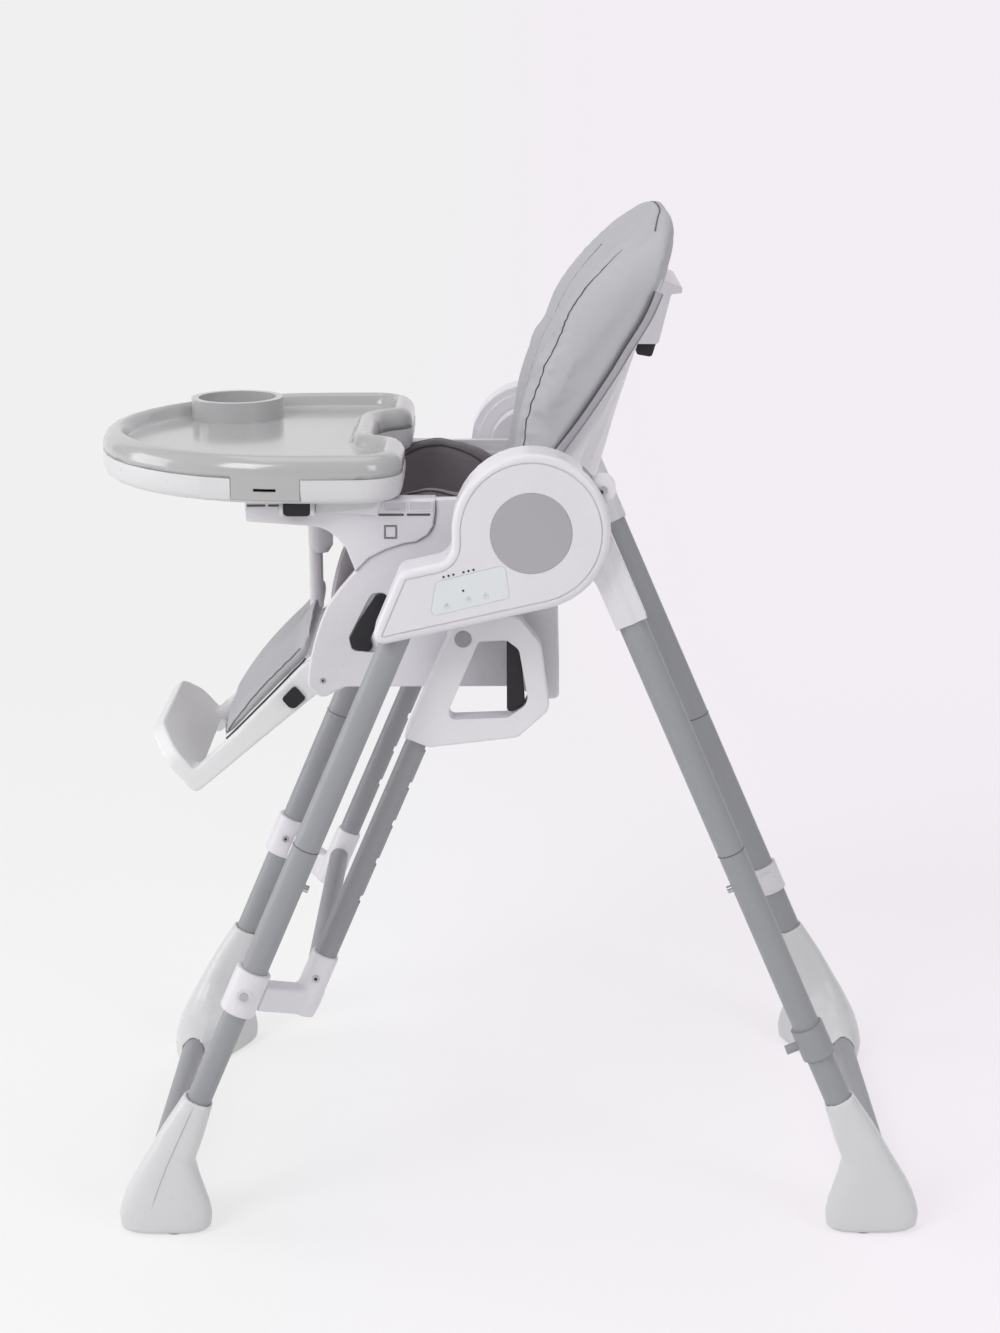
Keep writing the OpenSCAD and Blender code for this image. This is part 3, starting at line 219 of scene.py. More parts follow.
def paperMaterial(s):
    # plain paper: eye rays see its own glow, and shadows only near the chair
    paper = bpy.data.materials.new("paper")
    paper.use_nodes = True
    tree = paper.node_tree
    tree.nodes.remove(tree.nodes["Principled BSDF"])
    lit = tree.nodes.new("ShaderNodeBsdfDiffuse")
    lit.inputs["Color"].default_value = (s["paperLit"],) * 3 + (1,)
    glow = tree.nodes.new("ShaderNodeEmission")
    tree.links.new(paperColour(tree, s), glow.inputs["Color"])
    coords = tree.nodes.new("ShaderNodeTexCoord")
    away = tree.nodes.new("ShaderNodeVectorMath")
    away.operation = "LENGTH"
    tree.links.new(coords.outputs["Object"], away.inputs[0])
    fade = tree.nodes.new("ShaderNodeMapRange")
    fade.interpolation_type = "SMOOTHSTEP"
    fade.inputs["From Min"].default_value, fade.inputs["From Max"].default_value = s["shadowReach"]
    fade.inputs["To Min"].default_value = 1 - s["shadowShare"]
    tree.links.new(away.outputs["Value"], fade.inputs["Value"])
    lift = tree.nodes.new("ShaderNodeMath")
    lift.operation = "MULTIPLY_ADD"
    lift.inputs[1].default_value = -s["glowLift"]
    lift.inputs[2].default_value = 1 + s["glowLift"]
    tree.links.new(fade.outputs["Result"], lift.inputs[0])
    tree.links.new(lift.outputs[0], glow.inputs["Strength"])
    share = mathNode(tree, "MULTIPLY", seenByEye(tree), fade.outputs["Result"])
    mix = tree.nodes.new("ShaderNodeMixShader")
    tree.links.new(share, mix.inputs["Fac"])
    tree.links.new(lit.outputs[0], mix.inputs[1])
    tree.links.new(glow.outputs[0], mix.inputs[2])
    tree.links.new(mix.outputs[0], tree.nodes["Material Output"].inputs["Surface"])
    return paper


def layPaper(s):
    bm = bmesh.new()
    bmesh.ops.create_grid(bm, x_segments=2, y_segments=2, size=12)
    wall = bmesh.ops.extrude_edge_only(
        bm, edges=[e for e in bm.edges if all(v.co.y > 11.9 for v in e.verts)]
    )
    bmesh.ops.translate(
        bm, vec=(0, 0, 12), verts=[v for v in wall["geom"] if isinstance(v, bmesh.types.BMVert)]
    )
    mesh = bpy.data.meshes.new("floor")
    bm.to_mesh(mesh)
    bm.free()
    floor = bpy.data.objects.new("floor", mesh)
    scene.collection.objects.link(floor)
    mesh.materials.append(paperMaterial(s))


setSky(studio)
layPaper(studio)
print("studio set")

# shared shader effects


def giveOut(group, out, colour, rough, height):
    for label, source in (("Colour", colour), ("Roughness", rough), ("Height", height)):
        group.links.new(source, out.inputs[label])
    return group


def buildMouldSkin():
    # fine spark-eroded texture, slow change of tone and handling marks on moulded plastic
    group, given, out = makeGroup(
        "mouldSkin",
        [("Colour", "Color", (0.8, 0.8, 0.8, 1)), ("Worn Colour", "Color", (0.7, 0.7, 0.7, 1)),
         ("Grain Scale", "Float", 1500), ("Rough Low", "Float", 0.25), ("Rough High", "Float", 0.4)],
        [("Colour", "Color"), ("Roughness", "Float"), ("Height", "Float")],
    )
    coords = group.nodes.new("ShaderNodeTexCoord").outputs["Object"]
    grain = noiseNode(group, 1500, 2)
    group.links.new(given.outputs["Grain Scale"], grain.inputs["Scale"])
    tone = noiseNode(group, 9, 3)
    marks = noiseNode(group, 140, 5, 0.65)
    flow = noiseNode(group, 26, 2)
    for node in (grain, tone, marks, flow):
        group.links.new(coords, node.inputs["Vector"])
    colour = mixColour(group, rangeNode(group, tone.outputs["Fac"], 0.0, 0.35),
                       given.outputs["Colour"], given.outputs["Worn Colour"])
    speck = rangeNode(group, marks.outputs["Fac"], 0.0, 0.12)
    colour = mixColour(group, speck, colour, given.outputs["Worn Colour"])
    rough = rangeNode(group, marks.outputs["Fac"], given.outputs["Rough Low"], given.outputs["Rough High"])
    height = mathNode(group, "ADD", grain.outputs["Fac"],
                      mathNode(group, "MULTIPLY", flow.outputs["Fac"], 2.0))
    return giveOut(group, out, colour, rough, height)


def buildHideGrain():
    # pebbled grain of coated upholstery cloth with soft creases
    group, given, out = makeGroup(
        "hideGrain",
        [("Colour", "Color", (0.5, 0.5, 0.5, 1)), ("Hollow Colour", "Color", (0.4, 0.4, 0.4, 1)),
         ("Pebble Scale", "Float", 750), ("Rough Low", "Float", 0.45), ("Rough High", "Float", 0.6)],
        [("Colour", "Color"), ("Roughness", "Float"), ("Height", "Float")],
    )
    coords = group.nodes.new("ShaderNodeTexCoord").outputs["Object"]
    drift = noiseNode(group, 220, 2)
    bent = group.nodes.new("ShaderNodeVectorMath")
    bent.operation = "MULTIPLY_ADD"
    bent.inputs[1].default_value = (0.0012, 0.0012, 0.0012)
    group.links.new(coords, drift.inputs["Vector"])
    group.links.new(drift.outputs["Color"], bent.inputs[0])
    group.links.new(coords, bent.inputs[2])
    pebble = group.nodes.new("ShaderNodeTexVoronoi")
    pebble.feature = "DISTANCE_TO_EDGE"
    group.links.new(given.outputs["Pebble Scale"], pebble.inputs["Scale"])
    group.links.new(bent.outputs[0], pebble.inputs["Vector"])
    crease = noiseNode(group, 34, 4, 0.6)
    tone = noiseNode(group, 7, 2)
    for node in (crease, tone):
        group.links.new(coords, node.inputs["Vector"])
    edge = group.nodes.new("ShaderNodeMapRange")
    edge.inputs["From Max"].default_value = 0.18
    group.links.new(pebble.outputs["Distance"], edge.inputs["Value"])
    hollow = mathNode(group, "SUBTRACT", 1.0, edge.outputs["Result"])
    shade = mathNode(group, "MULTIPLY", hollow, 0.35)
    shade = mathNode(group, "ADD", shade, rangeNode(group, tone.outputs["Fac"], 0.0, 0.3))
    colour = mixColour(group, shade, given.outputs["Colour"], given.outputs["Hollow Colour"])
    rough = rangeNode(group, crease.outputs["Fac"], given.outputs["Rough Low"], given.outputs["Rough High"])
    height = mathNode(group, "ADD", mathNode(group, "MULTIPLY", edge.outputs["Result"], 0.6),
                      mathNode(group, "MULTIPLY", crease.outputs["Fac"], 1.6))
    return giveOut(group, out, colour, rough, height)


mouldSkin = buildMouldSkin()
hideGrain = buildHideGrain()


def startMaterial(name):
    material = bpy.data.materials.new(name)
    material.use_nodes = True
    return material.node_tree, material.node_tree.nodes["Principled BSDF"]


def placeGroup(tree, group, values):
    node = tree.nodes.new("ShaderNodeGroup")
    node.node_tree = group
    for label, value in values.items():
        node.inputs[label].default_value = value
    return node


def roundNormal(tree, radius):
    # softens the look of the sharp edges by a small radius
    node = tree.nodes.new("ShaderNodeBevel")
    node.samples = 4
    node.inputs["Radius"].default_value = radius
    return node.outputs["Normal"]


def wireSkin(tree, shader, skin, depth, edge):
    bump = tree.nodes.new("ShaderNodeBump")
    bump.inputs["Strength"].default_value = 1.0
    bump.inputs["Distance"].default_value = depth
    tree.links.new(skin.outputs["Colour"], shader.inputs["Base Color"])
    tree.links.new(skin.outputs["Roughness"], shader.inputs["Roughness"])
    tree.links.new(skin.outputs["Height"], bump.inputs["Height"])
    if edge:
        tree.links.new(roundNormal(tree, edge), bump.inputs["Normal"])
    tree.links.new(bump.outputs["Normal"], shader.inputs["Normal"])


def plasticMaterial(name, colour, worn, rough, grain, depth, edge=0.0012, coat=0.0):
    tree, shader = startMaterial(name)
    skin = placeGroup(tree, mouldSkin, {
        "Colour": paint(*colour), "Worn Colour": paint(*worn), "Grain Scale": grain,
        "Rough Low": rough[0], "Rough High": rough[1]})
    wireSkin(tree, shader, skin, depth, edge)
    shader.inputs["Coat Weight"].default_value = coat
    shader.inputs["Coat Roughness"].default_value = 0.08


def hideMaterial(name, colour, hollow, rough, pebble, depth):
    tree, shader = startMaterial(name)
    skin = placeGroup(tree, hideGrain, {
        "Colour": paint(*colour), "Hollow Colour": paint(*hollow), "Pebble Scale": pebble,
        "Rough Low": rough[0], "Rough High": rough[1]})
    wireSkin(tree, shader, skin, depth, 0)
    shader.inputs["Sheen Weight"].default_value = 0.08
    shader.inputs["Sheen Roughness"].default_value = 0.5


def metalMaterial(name, colour, rough):
    tree, shader = startMaterial(name)
    skin = placeGroup(tree, mouldSkin, {
        "Colour": paint(*colour), "Worn Colour": paint(*[c * 0.8 for c in colour]),
        "Grain Scale": 2600, "Rough Low": rough[0], "Rough High": rough[1]})
    wireSkin(tree, shader, skin, 0.00003, 0.0003)
    shader.inputs["Metallic"].default_value = 1.0


plastics = {
    # colour, worn colour, roughness, grains per metre, grain depth in metres, rounding of edges, coat
    "whitePlastic": ((232, 229, 235), (222, 218, 224), (0.26, 0.38), 1600, 0.00004),
    "ivoryPlastic": ((240, 239, 240), (238, 237, 239), (0.5, 0.52), 400, 0.0000005, 0),
    # footPlastic: the white plastic made darker, a painted shade for the feet, which get less light; the
    # tray base has it too
    "footPlastic": ((222, 221, 223), (213, 212, 214), (0.26, 0.38), 1600, 0.00004),
    "trayPlastic": ((184, 184, 185), (176, 176, 178), (0.1, 0.18), 2200, 0.00002, 0.0012, 0.3),
    "discPlastic": ((178, 175, 180), (170, 167, 172), (0.42, 0.55), 1800, 0.00005),
    "capPlastic": ((160, 159, 164), (150, 149, 154), (0.3, 0.42), 1800, 0.00004),
    "blackPlastic": ((26, 23, 29), (36, 33, 39), (0.42, 0.56), 1300, 0.00009),
    "panelFilm": ((228, 230, 234), (225, 231, 233), (0.16, 0.24), 2400, 0.00001),
    "tubePaint": ((159, 160, 165), (151, 152, 157), (0.34, 0.46), 1100, 0.00007, 0.0006),
    "innerPaint": ((150, 150, 156), (142, 142, 148), (0.34, 0.46), 1100, 0.00007, 0.0006),
    "rubberPad": ((46, 45, 47), (58, 57, 59), (0.7, 0.85), 900, 0.00012),
    # markAndSocketShade: dark print for the panel's lights, and painted shade in screw sockets
    "markAndSocketShade": ((40, 38, 46), (52, 50, 58), (0.4, 0.5), 2000, 0.00001, 0),
    "iconPlastic": ((206, 213, 216), (200, 207, 210), (0.3, 0.4), 2000, 0.00001, 0),
    # slotShadePlastic: its dark grey is painted shade inside slots
    "slotShadePlastic": ((92, 90, 96), (78, 75, 82), (0.5, 0.6), 2000, 0.00001, 0),
    # recessShadePlastic: a little darker than the white, painted shade inside the windows' recesses
    "recessShadePlastic": ((212, 209, 216), (188, 185, 192), (0.4, 0.5), 1600, 0.00001, 0),
    "lineShade": ((150, 147, 154), (116, 113, 120), (0.5, 0.6), 2000, 0.00001, 0),
    # footLine: a little darker than the feet, painted shade along their creases
    "footLine": ((188, 187, 190), (180, 179, 182), (0.5, 0.6), 2000, 0.00001, 0),
    # tubeLine: dark grey ring at tube joints, painted shade of the step there
    "tubeLine": ((104, 104, 110), (94, 94, 100), (0.5, 0.6), 2000, 0.00001, 0),
}
hides = {
    # colour, colour of the hollows, roughness, pebbles per metre, pebble depth in metres
    "greyHide": ((188, 187, 192), (176, 175, 180), (0.5, 0.66), 800, 0.00012),
    "darkHide": ((122, 115, 120), (106, 99, 104), (0.48, 0.62), 800, 0.00014),
    "edgeHide": ((176, 173, 181), (164, 161, 169), (0.5, 0.66), 800, 0.0001),
    "wingPiping": ((72, 67, 71), (58, 54, 58), (0.5, 0.66), 1600, 0.0001),
    "seamThread": ((92, 91, 96), (70, 69, 73), (0.6, 0.8), 2600, 0.0001),
    "hemThread": ((132, 130, 136), (110, 108, 114), (0.6, 0.8), 2600, 0.0001),
}
for name, row in plastics.items():
    plasticMaterial(name, *row)
for name, row in hides.items():
    hideMaterial(name, *row)
metalMaterial("screwSteel", (196, 196, 200), (0.22, 0.38))
print("materials ready")

# moulded and metal nodes


def bothSides(*names):
    return [side + "_" + name for name in names for side in ("left", "right")]


finishes = {
    "whitePlastic": bothSides("hub_shell", "rear_socket", "swing_hanger", "height_slider", "armrest",
                              "leg_collar") + ["hub_covers", "seat_shell", "back_shell", "crotch_post"],
    "footPlastic": ["tray_base"],
    "trayPlastic": ["top_tray"],
    "discPlastic": ["hub_discs"],
    "capPlastic": ["slider_caps"],
    "panelFilm": ["control_panel"],
    "blackPlastic": bothSides("height_trigger", "leg_button", "tray_lever"),
    "rubberPad": ["front_foot_pads", "rear_foot_pads"],
    "screwSteel": ["front_fasteners", "rear_fasteners", "swing_drive"],
    "tubePaint": bothSides("front_upper_tube", "front_middle_tube", "front_lower_tube", "rear_upper_tube",
                           "rear_lower_tube") + ["front_cross_tube", "rear_cross_tube"],
    "innerPaint": bothSides("guide_tube") + ["swing_cross_tube"],
}
nodeBody = {n: body for body, nodes in record["behaviour"]["bodies"].items() for n in nodes}


def meshFrom(bm, name):
    mesh = bpy.data.meshes.new(name)
    bm.to_mesh(mesh)
    bm.free()
    return mesh


def camelName(node):
    first, *rest = node.split("_")
    return first + "".join(word.capitalize() for word in rest)


def shadeSmooth(mesh, corner=40):
    mesh.shade_smooth()
    mesh.set_sharp_from_angle(angle=math.radians(corner))


def finishPiece(name, mesh, material, body, replaced=()):
    mesh.materials.clear()
    mesh.materials.append(bpy.data.materials[material])
    piece = bpy.data.objects.new(name, mesh)
    scene.collection.objects.link(piece)
    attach(piece, body)
    if replaced:
        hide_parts(*replaced)
    return piece


def finishNode(node, mesh, material):
    return finishPiece(camelName(node), mesh, material, nodeBody[node], [node])


def smoothCopy(node, material, corner=32):
    # the solid's own shape with its facets merged, so that curved walls shade smoothly
    bm = bmesh.new()
    bm.from_mesh(frame["nodes"][node].data)
    bmesh.ops.remove_doubles(bm, verts=bm.verts, dist=0.00002)
    bmesh.ops.dissolve_limit(
        bm, angle_limit=math.radians(0.4), verts=bm.verts, edges=bm.edges, use_dissolve_boundaries=False
    )
    mesh = meshFrom(bm, camelName(node))
    shadeSmooth(mesh, corner)
    piece = finishNode(node, mesh, material)
    weighted = piece.modifiers.new("weighted", "WEIGHTED_NORMAL")
    weighted.keep_sharp = True
    return piece


for finishName, nodeNames in finishes.items():
    for nodeName in nodeNames:
        smoothCopy(nodeName, finishName)
print("moulded and metal pieces ready")

# forms

seatDatum = foldAxle - Vector((0.028, 0.0, 0.756))


def spot(x, y, z):
    # a place on the seat in millimetres, counted from the seat's datum
    return seatDatum + Vector((x, y, z)) / 1000


def fullTurn(count):
    return [2 * math.pi * k / count for k in range(count)]


def circle(x, z, r, count=24):
    return [(x + r * math.cos(a), z + r * math.sin(a)) for a in fullTurn(count)]


def rounded(corners, steps=5):
    # outline through corners (x, y, radius), each one replaced by its round
    points = []
    for i, (x, y, r) in enumerate(corners):
        b = Vector((x, y))
        if not r:
            points.append((x, y))
            continue
        u = (Vector(corners[i - 1][:2]) - b).normalized()
        w = (Vector(corners[(i + 1) % len(corners)][:2]) - b).normalized()
        half = u.angle(w) / 2
        centre = b + (u + w).normalized() * r / math.sin(half)
        first = b + u * r / math.tan(half) - centre
        last = b + w * r / math.tan(half) - centre
        start = math.atan2(first.y, first.x)
        sweep = (math.atan2(last.y, last.x) - start + math.pi) % (2 * math.pi) - math.pi
        for k in range(steps + 1):
            a = start + sweep * k / steps
            points.append((centre.x + r * math.cos(a), centre.y + r * math.sin(a)))
    return points


def skinOver(name, rings, closed=False):
    bm = bmesh.new()
    loops = []
    for ring in rings:
        made = bmesh.ops.create_circle(bm, segments=len(ring), radius=1)["verts"]
        for vert, point in zip(made, ring):
            vert.co = point
        loops.append(list({e for v in made for e in v.link_edges}))
    for low, high in zip(loops, loops[1:]):
        bmesh.ops.bridge_loops(bm, edges=low + high)
    if closed:
        bmesh.ops.bridge_loops(bm, edges=loops[-1] + loops[0])
    bmesh.ops.holes_fill(bm, edges=bm.edges, sides=0)
    bmesh.ops.recalc_face_normals(bm, faces=bm.faces)
    return meshFrom(bm, name)


def slabMesh(name, outline, thick, edge, place):
    # plate with rounded rims, placed by a function of its own two directions and depth
    bm = bmesh.new()
    face = bm.faces.new([bm.verts.new((u, v, 0)) for u, v in outline])
    made = bmesh.ops.extrude_face_region(bm, geom=[face])["geom"]
    raised = [v for v in made if isinstance(v, bmesh.types.BMVert)]
    bmesh.ops.translate(bm, vec=(0, 0, thick), verts=raised)
    if edge:
        rims = [e for e in bm.edges if abs(e.verts[0].co.z - e.verts[1].co.z) < 0.000001]
        bmesh.ops.bevel(bm, geom=rims, offset=edge, offset_type="OFFSET", segments=3,
                        profile=0.5, affect="EDGES", material=-1)
    for v in bm.verts:
        v.co = place(*v.co)
    bmesh.ops.recalc_face_normals(bm, faces=bm.faces)
    return meshFrom(bm, name)


def slab(name, outline, thick, edge, place, material, body, replaced=()):
    mesh = slabMesh(name, outline, thick, edge, place)
    shadeSmooth(mesh)
    return finishPiece(name, mesh, material, body, replaced)


def dense(points, step=0.0015):
    path = [Vector(p) for p in points]
    found = []
    for a, b in zip(path, path[1:]):
        count = max(1, round((b - a).length / step))
        found += [a.lerp(b, k / count) for k in range(count)]
    return found + [path[-1]]


def between(a, b, startSlope, endSlope, t):
    # smooth course from a to b
    return (a * (2 * t**3 - 3 * t**2 + 1) + startSlope * (t**3 - 2 * t**2 + t)
            + b * (3 * t**2 - 2 * t**3) + endSlope * (t**3 - t**2))


def curved(points, parts=6):
    # smooth path through the points
    path = [Vector(p) for p in points]
    found = []
    for i in range(len(path) - 1):
        a, b = path[i], path[i + 1]
        before, after = path[max(i - 1, 0)], path[min(i + 2, len(path) - 1)]
        m0, m1 = (b - before) / 2, (after - a) / 2
        for k in range(parts):
            t = k / parts
            found.append(between(a, b, m0, m1, t))
    return found + [path[-1]]


def cord(name, points, radius, material, body, closed=False, taper=0):
    # round cord along the points, its ends drawn out over the tapered rings
    path = [Vector(p) for p in points]
    count = len(path)
    rings = []
    side = None
    for i, p in enumerate(path):
        ahead = path[(i + 1) % count] if closed or i < count - 1 else p
        behind = path[i - 1] if closed or i > 0 else p
        along = (ahead - behind).normalized()
        if side is None:
            side = along.orthogonal()
        side = (side - along * side.dot(along)).normalized()
        other = along.cross(side)
        size = radius
        if taper and not closed:
            size *= min(1, 0.15 + min(i, count - 1 - i) / taper)
        rings.append([p + size * (math.cos(a) * side + math.sin(a) * other) for a in fullTurn(8)])
    mesh = skinOver(name, rings, closed)
    mesh.shade_smooth()
    return finishPiece(name, mesh, material, body)


def surfaceOf(mesh):
    return BVHTree.FromPolygons([v.co for v in mesh.vertices], [p.vertices for p in mesh.polygons])


def laidOn(points, mesh, lift=0.0):
    # the points moved to the nearest place of the surface
    tree = surfaceOf(mesh)
    found = []
    for p in points:
        place, normal, _, _ = tree.find_nearest(p)
        found.append(place + normal * lift)
    return found


def drawIn(mesh, points, width, depth, pucker=0.0, period=0.014, reach=0.02):
    # presses a sewn channel along the points, with small folds across it
    path = dense(points)
    tree = KDTree(len(path))
    for i, p in enumerate(path):
        tree.insert(p, i)
    tree.balance()
    for vert in mesh.vertices:
        _, i, far = tree.find(vert.co)
        move = 0.0
        if far < width:
            move -= depth * (1 - far / width) ** 1.5
        if pucker and far < reach:
            fold = math.sin(i * 0.0015 / period * 2 * math.pi + 1.7 * math.sin(i * 0.021))
            move += pucker * fold * (1 - far / reach) * min(1, far / width)
        if move:
            vert.co += vert.normal * move
    mesh.update()


def addVoxels(piece, voxel):
    remesh = piece.modifiers.new("remesh", "REMESH")
    remesh.mode = "VOXEL"
    remesh.voxel_size = voxel


def asSeen(piece):
    # the piece's mesh with its modifiers applied
    return bpy.data.meshes.new_from_object(piece.evaluated_get(bpy.context.evaluated_depsgraph_get()))


def softened(name, meshes, voxel, rounds):
    # closed forms joined into one skin with eased edges
    bm = bmesh.new()
    for mesh in meshes:
        bm.from_mesh(mesh)
    joined = meshFrom(bm, name)
    piece = bpy.data.objects.new(name + "Form", joined)
    scene.collection.objects.link(piece)
    addVoxels(piece, voxel)
    smooth = piece.modifiers.new("smooth", "SMOOTH")
    smooth.factor = 0.5
    smooth.iterations = rounds
    result = asSeen(piece)
    bpy.data.objects.remove(piece)
    result.shade_smooth()
    return result


def tableAt(rows, key):
    # a row of the table between its rows, smoothly
    if key <= rows[0][0]:
        return rows[0]
    for i in range(len(rows) - 1):
        a, b = rows[i], rows[i + 1]
        if key <= b[0]:
            before = rows[max(i - 1, 0)]
            after = rows[min(i + 2, len(rows) - 1)]
            t = (key - a[0]) / (b[0] - a[0])
            row = [key]
            for k in range(1, len(a)):
                m0 = (b[k] - before[k]) / max(b[0] - before[0], 1e-6) * (b[0] - a[0])
                m1 = (after[k] - a[k]) / max(after[0] - a[0], 1e-6) * (b[0] - a[0])
                row.append(between(a[k], b[k], m0, m1, t))
            return row
    return rows[-1]


def stuffed(name, mesh, voxel, pressure, cap):
    # swells a closed form as stuffing does, and returns the finished mesh
    cushion = bpy.data.objects.new(name + "Form", mesh)
    scene.collection.objects.link(cushion)
    addVoxels(cushion, voxel)
    even = asSeen(cushion)
    cushion.modifiers.clear()
    cushion.data = even
    cloth = cushion.modifiers.new("cloth", "CLOTH")
    cloth.settings.use_pressure = True
    cloth.settings.uniform_pressure_force = pressure
    cloth.settings.effector_weights.gravity = 0
    cloth.settings.tension_stiffness = 18
    cloth.settings.compression_stiffness = 12
    cloth.settings.bending_stiffness = 1.5
    cloth.point_cache.frame_start = 1
    cloth.point_cache.frame_end = 20
    start = [v.co.copy() for v in even.vertices]
    for step in range(1, 21):
        scene.frame_set(step)
    swollen = asSeen(cushion)
    for vert, rest in zip(swollen.vertices, start):
        shift = vert.co - rest
        if shift.length > cap:
            vert.co = rest + shift.normalized() * cap
    cushion.modifiers.clear()
    cushion.data = swollen
    scene.frame_set(1)
    finished = cushion.data
    bpy.data.objects.remove(cushion)
    return finished


def padPiece(name, mesh, material, body, replaced=()):
    piece = finishPiece(name, mesh, material, body, replaced)
    mesh.shade_smooth()
    smooth = piece.modifiers.new("smooth", "SUBSURF")
    smooth.levels = smooth.render_levels = 1
    return piece


# backrest cushion

backCushion = {
    # height, front, front seam, side piping, rear, and the half widths at seam, piping and behind it
    "levels": [
        (664, 15, 18, 22, 42, 138, 140, 138), (672, 8, 12, 18, 52, 148, 150, 148),
        (700, 3, 8, 14, 62, 151, 154, 152), (750, 3, 9, 22, 80, 152, 158, 155),
        (783, 8, 12, 33, 91, 152, 165, 158), (810, 13, 17, 48, 101, 151, 171, 159),
        (849, 19.5, 23, 76, 113, 151, 173.4, 159.5), (898, 35, 39, 109, 127, 151, 173.4, 159.5),
        (920, 46.5, 49, 122, 135, 151, 173.4, 159.5), (956, 64.6, 67, 144, 149, 150, 173.4, 159.5),
        (987, 88, 89, 157, 163, 148, 172, 159.5), (1011, 110.6, 112, 164, 171.5, 143, 166, 158),
        (1029, 130, 131, 167, 177, 132, 152, 146), (1040, 143, 145, 168, 179, 118, 134, 128),
        (1048, 152, 154, 168, 177, 98, 110, 106), (1053, 158, 160, 167, 173, 72, 80, 78),
        (1055, 162, 163, 166, 169, 48, 52, 50),
    ],
    "steps": 60,
    "dish": 15,
    "seamTop": 1022,
    "panelShare": 0.62,
    "stripWidth": 8,
    "stripSpan": (720, 986),
    "stuffing": (0.0045, 4.0, 0.003),
    "crest": [(156, 131, 1036), (158, 115, 1043), (162, 80, 1050), (165, 40, 1054), (166, 0, 1055)],
    "fold": [(156, 133, 1034), (150, 143, 1029), (142, 148, 1024), (132, 150, 1021)],
}


def backSection(c, z):
    # half of the section, from the middle of the front to the middle of the rear
    _, front, seam, piping, rear, halfSeam, halfPiping, halfBehind = tableAt(c["levels"], z)
    dish = min(c["dish"], (rear - front) * 0.4)
    points = [
        (front + dish, 0.12 * halfSeam), (front + dish * 0.96, 0.3 * halfSeam),
        (front + dish * 0.8, 0.48 * halfSeam), (front + dish * 0.48, 0.64 * halfSeam),
        (front + dish * 0.12, 0.78 * halfSeam), (front, 0.87 * halfSeam),
        (front + 0.3 * (seam - front), 0.95 * halfSeam), (seam, halfSeam),
    ]
    for t in (0.15, 0.35, 0.6, 0.85):
        bulge = 2.5 * math.sin(math.pi * t)
        points.append((seam + (piping - seam) * t, halfSeam + (halfPiping - halfSeam) * t**0.8 + bulge))
    points.append((piping, halfPiping))
    points.append((piping + 2.5, halfPiping - 0.3 * (halfPiping - halfBehind)))
    for a in (78, 62, 46, 30, 16, 5):
        points.append((
            piping + 3 + (rear - piping - 3) * math.cos(math.radians(a)) ** 0.45,
            halfBehind * math.sin(math.radians(a)) ** 0.6,
        ))
    return points


def backRims(c):
    # the table's rows that the seams and pipings follow, and those within the edging's span
    heights = [c["levels"][2][0] + k * 10 for k in range(36)]
    rows = [tableAt(c["levels"], z) for z in heights if z < c["seamTop"]]
    return rows, [row for row in rows if c["stripSpan"][0] <= row[0] <= c["stripSpan"][1]]


def backEdging(c, rims, side, label):
    # flat strip behind the piping, with its hem
    outs = []
    for a, b in zip([rims[0]] + rims, rims + [rims[-1]]):
        along = Vector((b[3] - a[3], b[0] - a[0])).normalized()
        outs.append((along.y, -along.x))
    wide = c["stripWidth"]
    rings = []
    for row, (outX, outZ) in zip(rims, outs):
        rings.append([spot(row[3] + outX * step, side * y, row[0] + outZ * step) for step, y in (
            (0.5, 173.2), (wide, 173.0), (wide + 0.6, 173.6), (wide - 1, 174.6), (2, 174.6), (0.2, 174.0))])
    strap = skinOver("backEdging" + label, rings)
    strap.shade_smooth()
    finishPiece("backEdging" + label, strap, "edgeHide", "backrest")
    edge = [spot(row[3] + outX * (wide + 0.4), side * 173.6, row[0] + outZ * (wide + 0.4))
            for row, (outX, outZ) in zip(rims, outs)]
    cord("backHem" + label, edge, 0.0006, "hemThread", "backrest")


def sewBackCushion(c, mesh, rows, rims, side, label):
    seam = [spot(row[2], side * row[5], row[0]) for row in rows]
    piping = curved([spot(row[3], side * row[6], row[0]) for row in rims], 3)
    crest = curved([spot(x, side * y, z) for x, y, z in c["crest"]], 4)
    fold = curved([spot(x, side * y, z) for x, y, z in c["fold"]], 4)
    panel = curved([spot(row[1] + 12, side * c["panelShare"] * row[5], row[0]) for row in rows[3:-2]], 2)
    drawIn(mesh, seam, 0.007, 0.0028, pucker=0.0009)
    drawIn(mesh, crest, 0.007, 0.0025)
    drawIn(mesh, fold, 0.009, 0.0030)
    drawIn(mesh, laidOn(panel, mesh), 0.009, 0.0030, pucker=0.0006, period=0.018)
    for name, path, radius, taper in (
        ("backSeam", laidOn(curved(seam, 3), mesh, 0.0002), 0.0007, 12),
        ("backCrestSeam", laidOn(crest, mesh, 0.0002), 0.0008, 0),
        ("backPanelSeam", laidOn(panel, mesh, 0.0001), 0.0006, 0),
        ("backPiping", [p + Vector((-0.0006, side * 0.0009, 0)) for p in piping], 0.0011, 0),
    ):
        cord(name + label, path, radius, "seamThread", "backrest", taper=taper)


def buildBackCushion(c):
    rings = []
    low, high = c["levels"][0][0], c["levels"][-1][0]
    for k in range(c["steps"] + 1):
        z = low + (high - low) * (1 - (1 - k / c["steps"]) ** 1.25)
        half = backSection(c, z)
        rings.append([spot(x, -y, z) for x, y in half] + [spot(x, y, z) for x, y in reversed(half)])
    mesh = stuffed("backCushion", skinOver("backCushion", rings), *c["stuffing"])
    mesh.update()
    rows, rims = backRims(c)
    for side, label in sides:
        sewBackCushion(c, mesh, rows, rims, side, label)
        backEdging(c, rims, side, label)
    padPiece("backCushion", mesh, "greyHide", "backrest", ["back_pad"])


buildBackCushion(backCushion)
print("back cushion ready")

# seat cushion, its side pads and the flaps at the rear corners

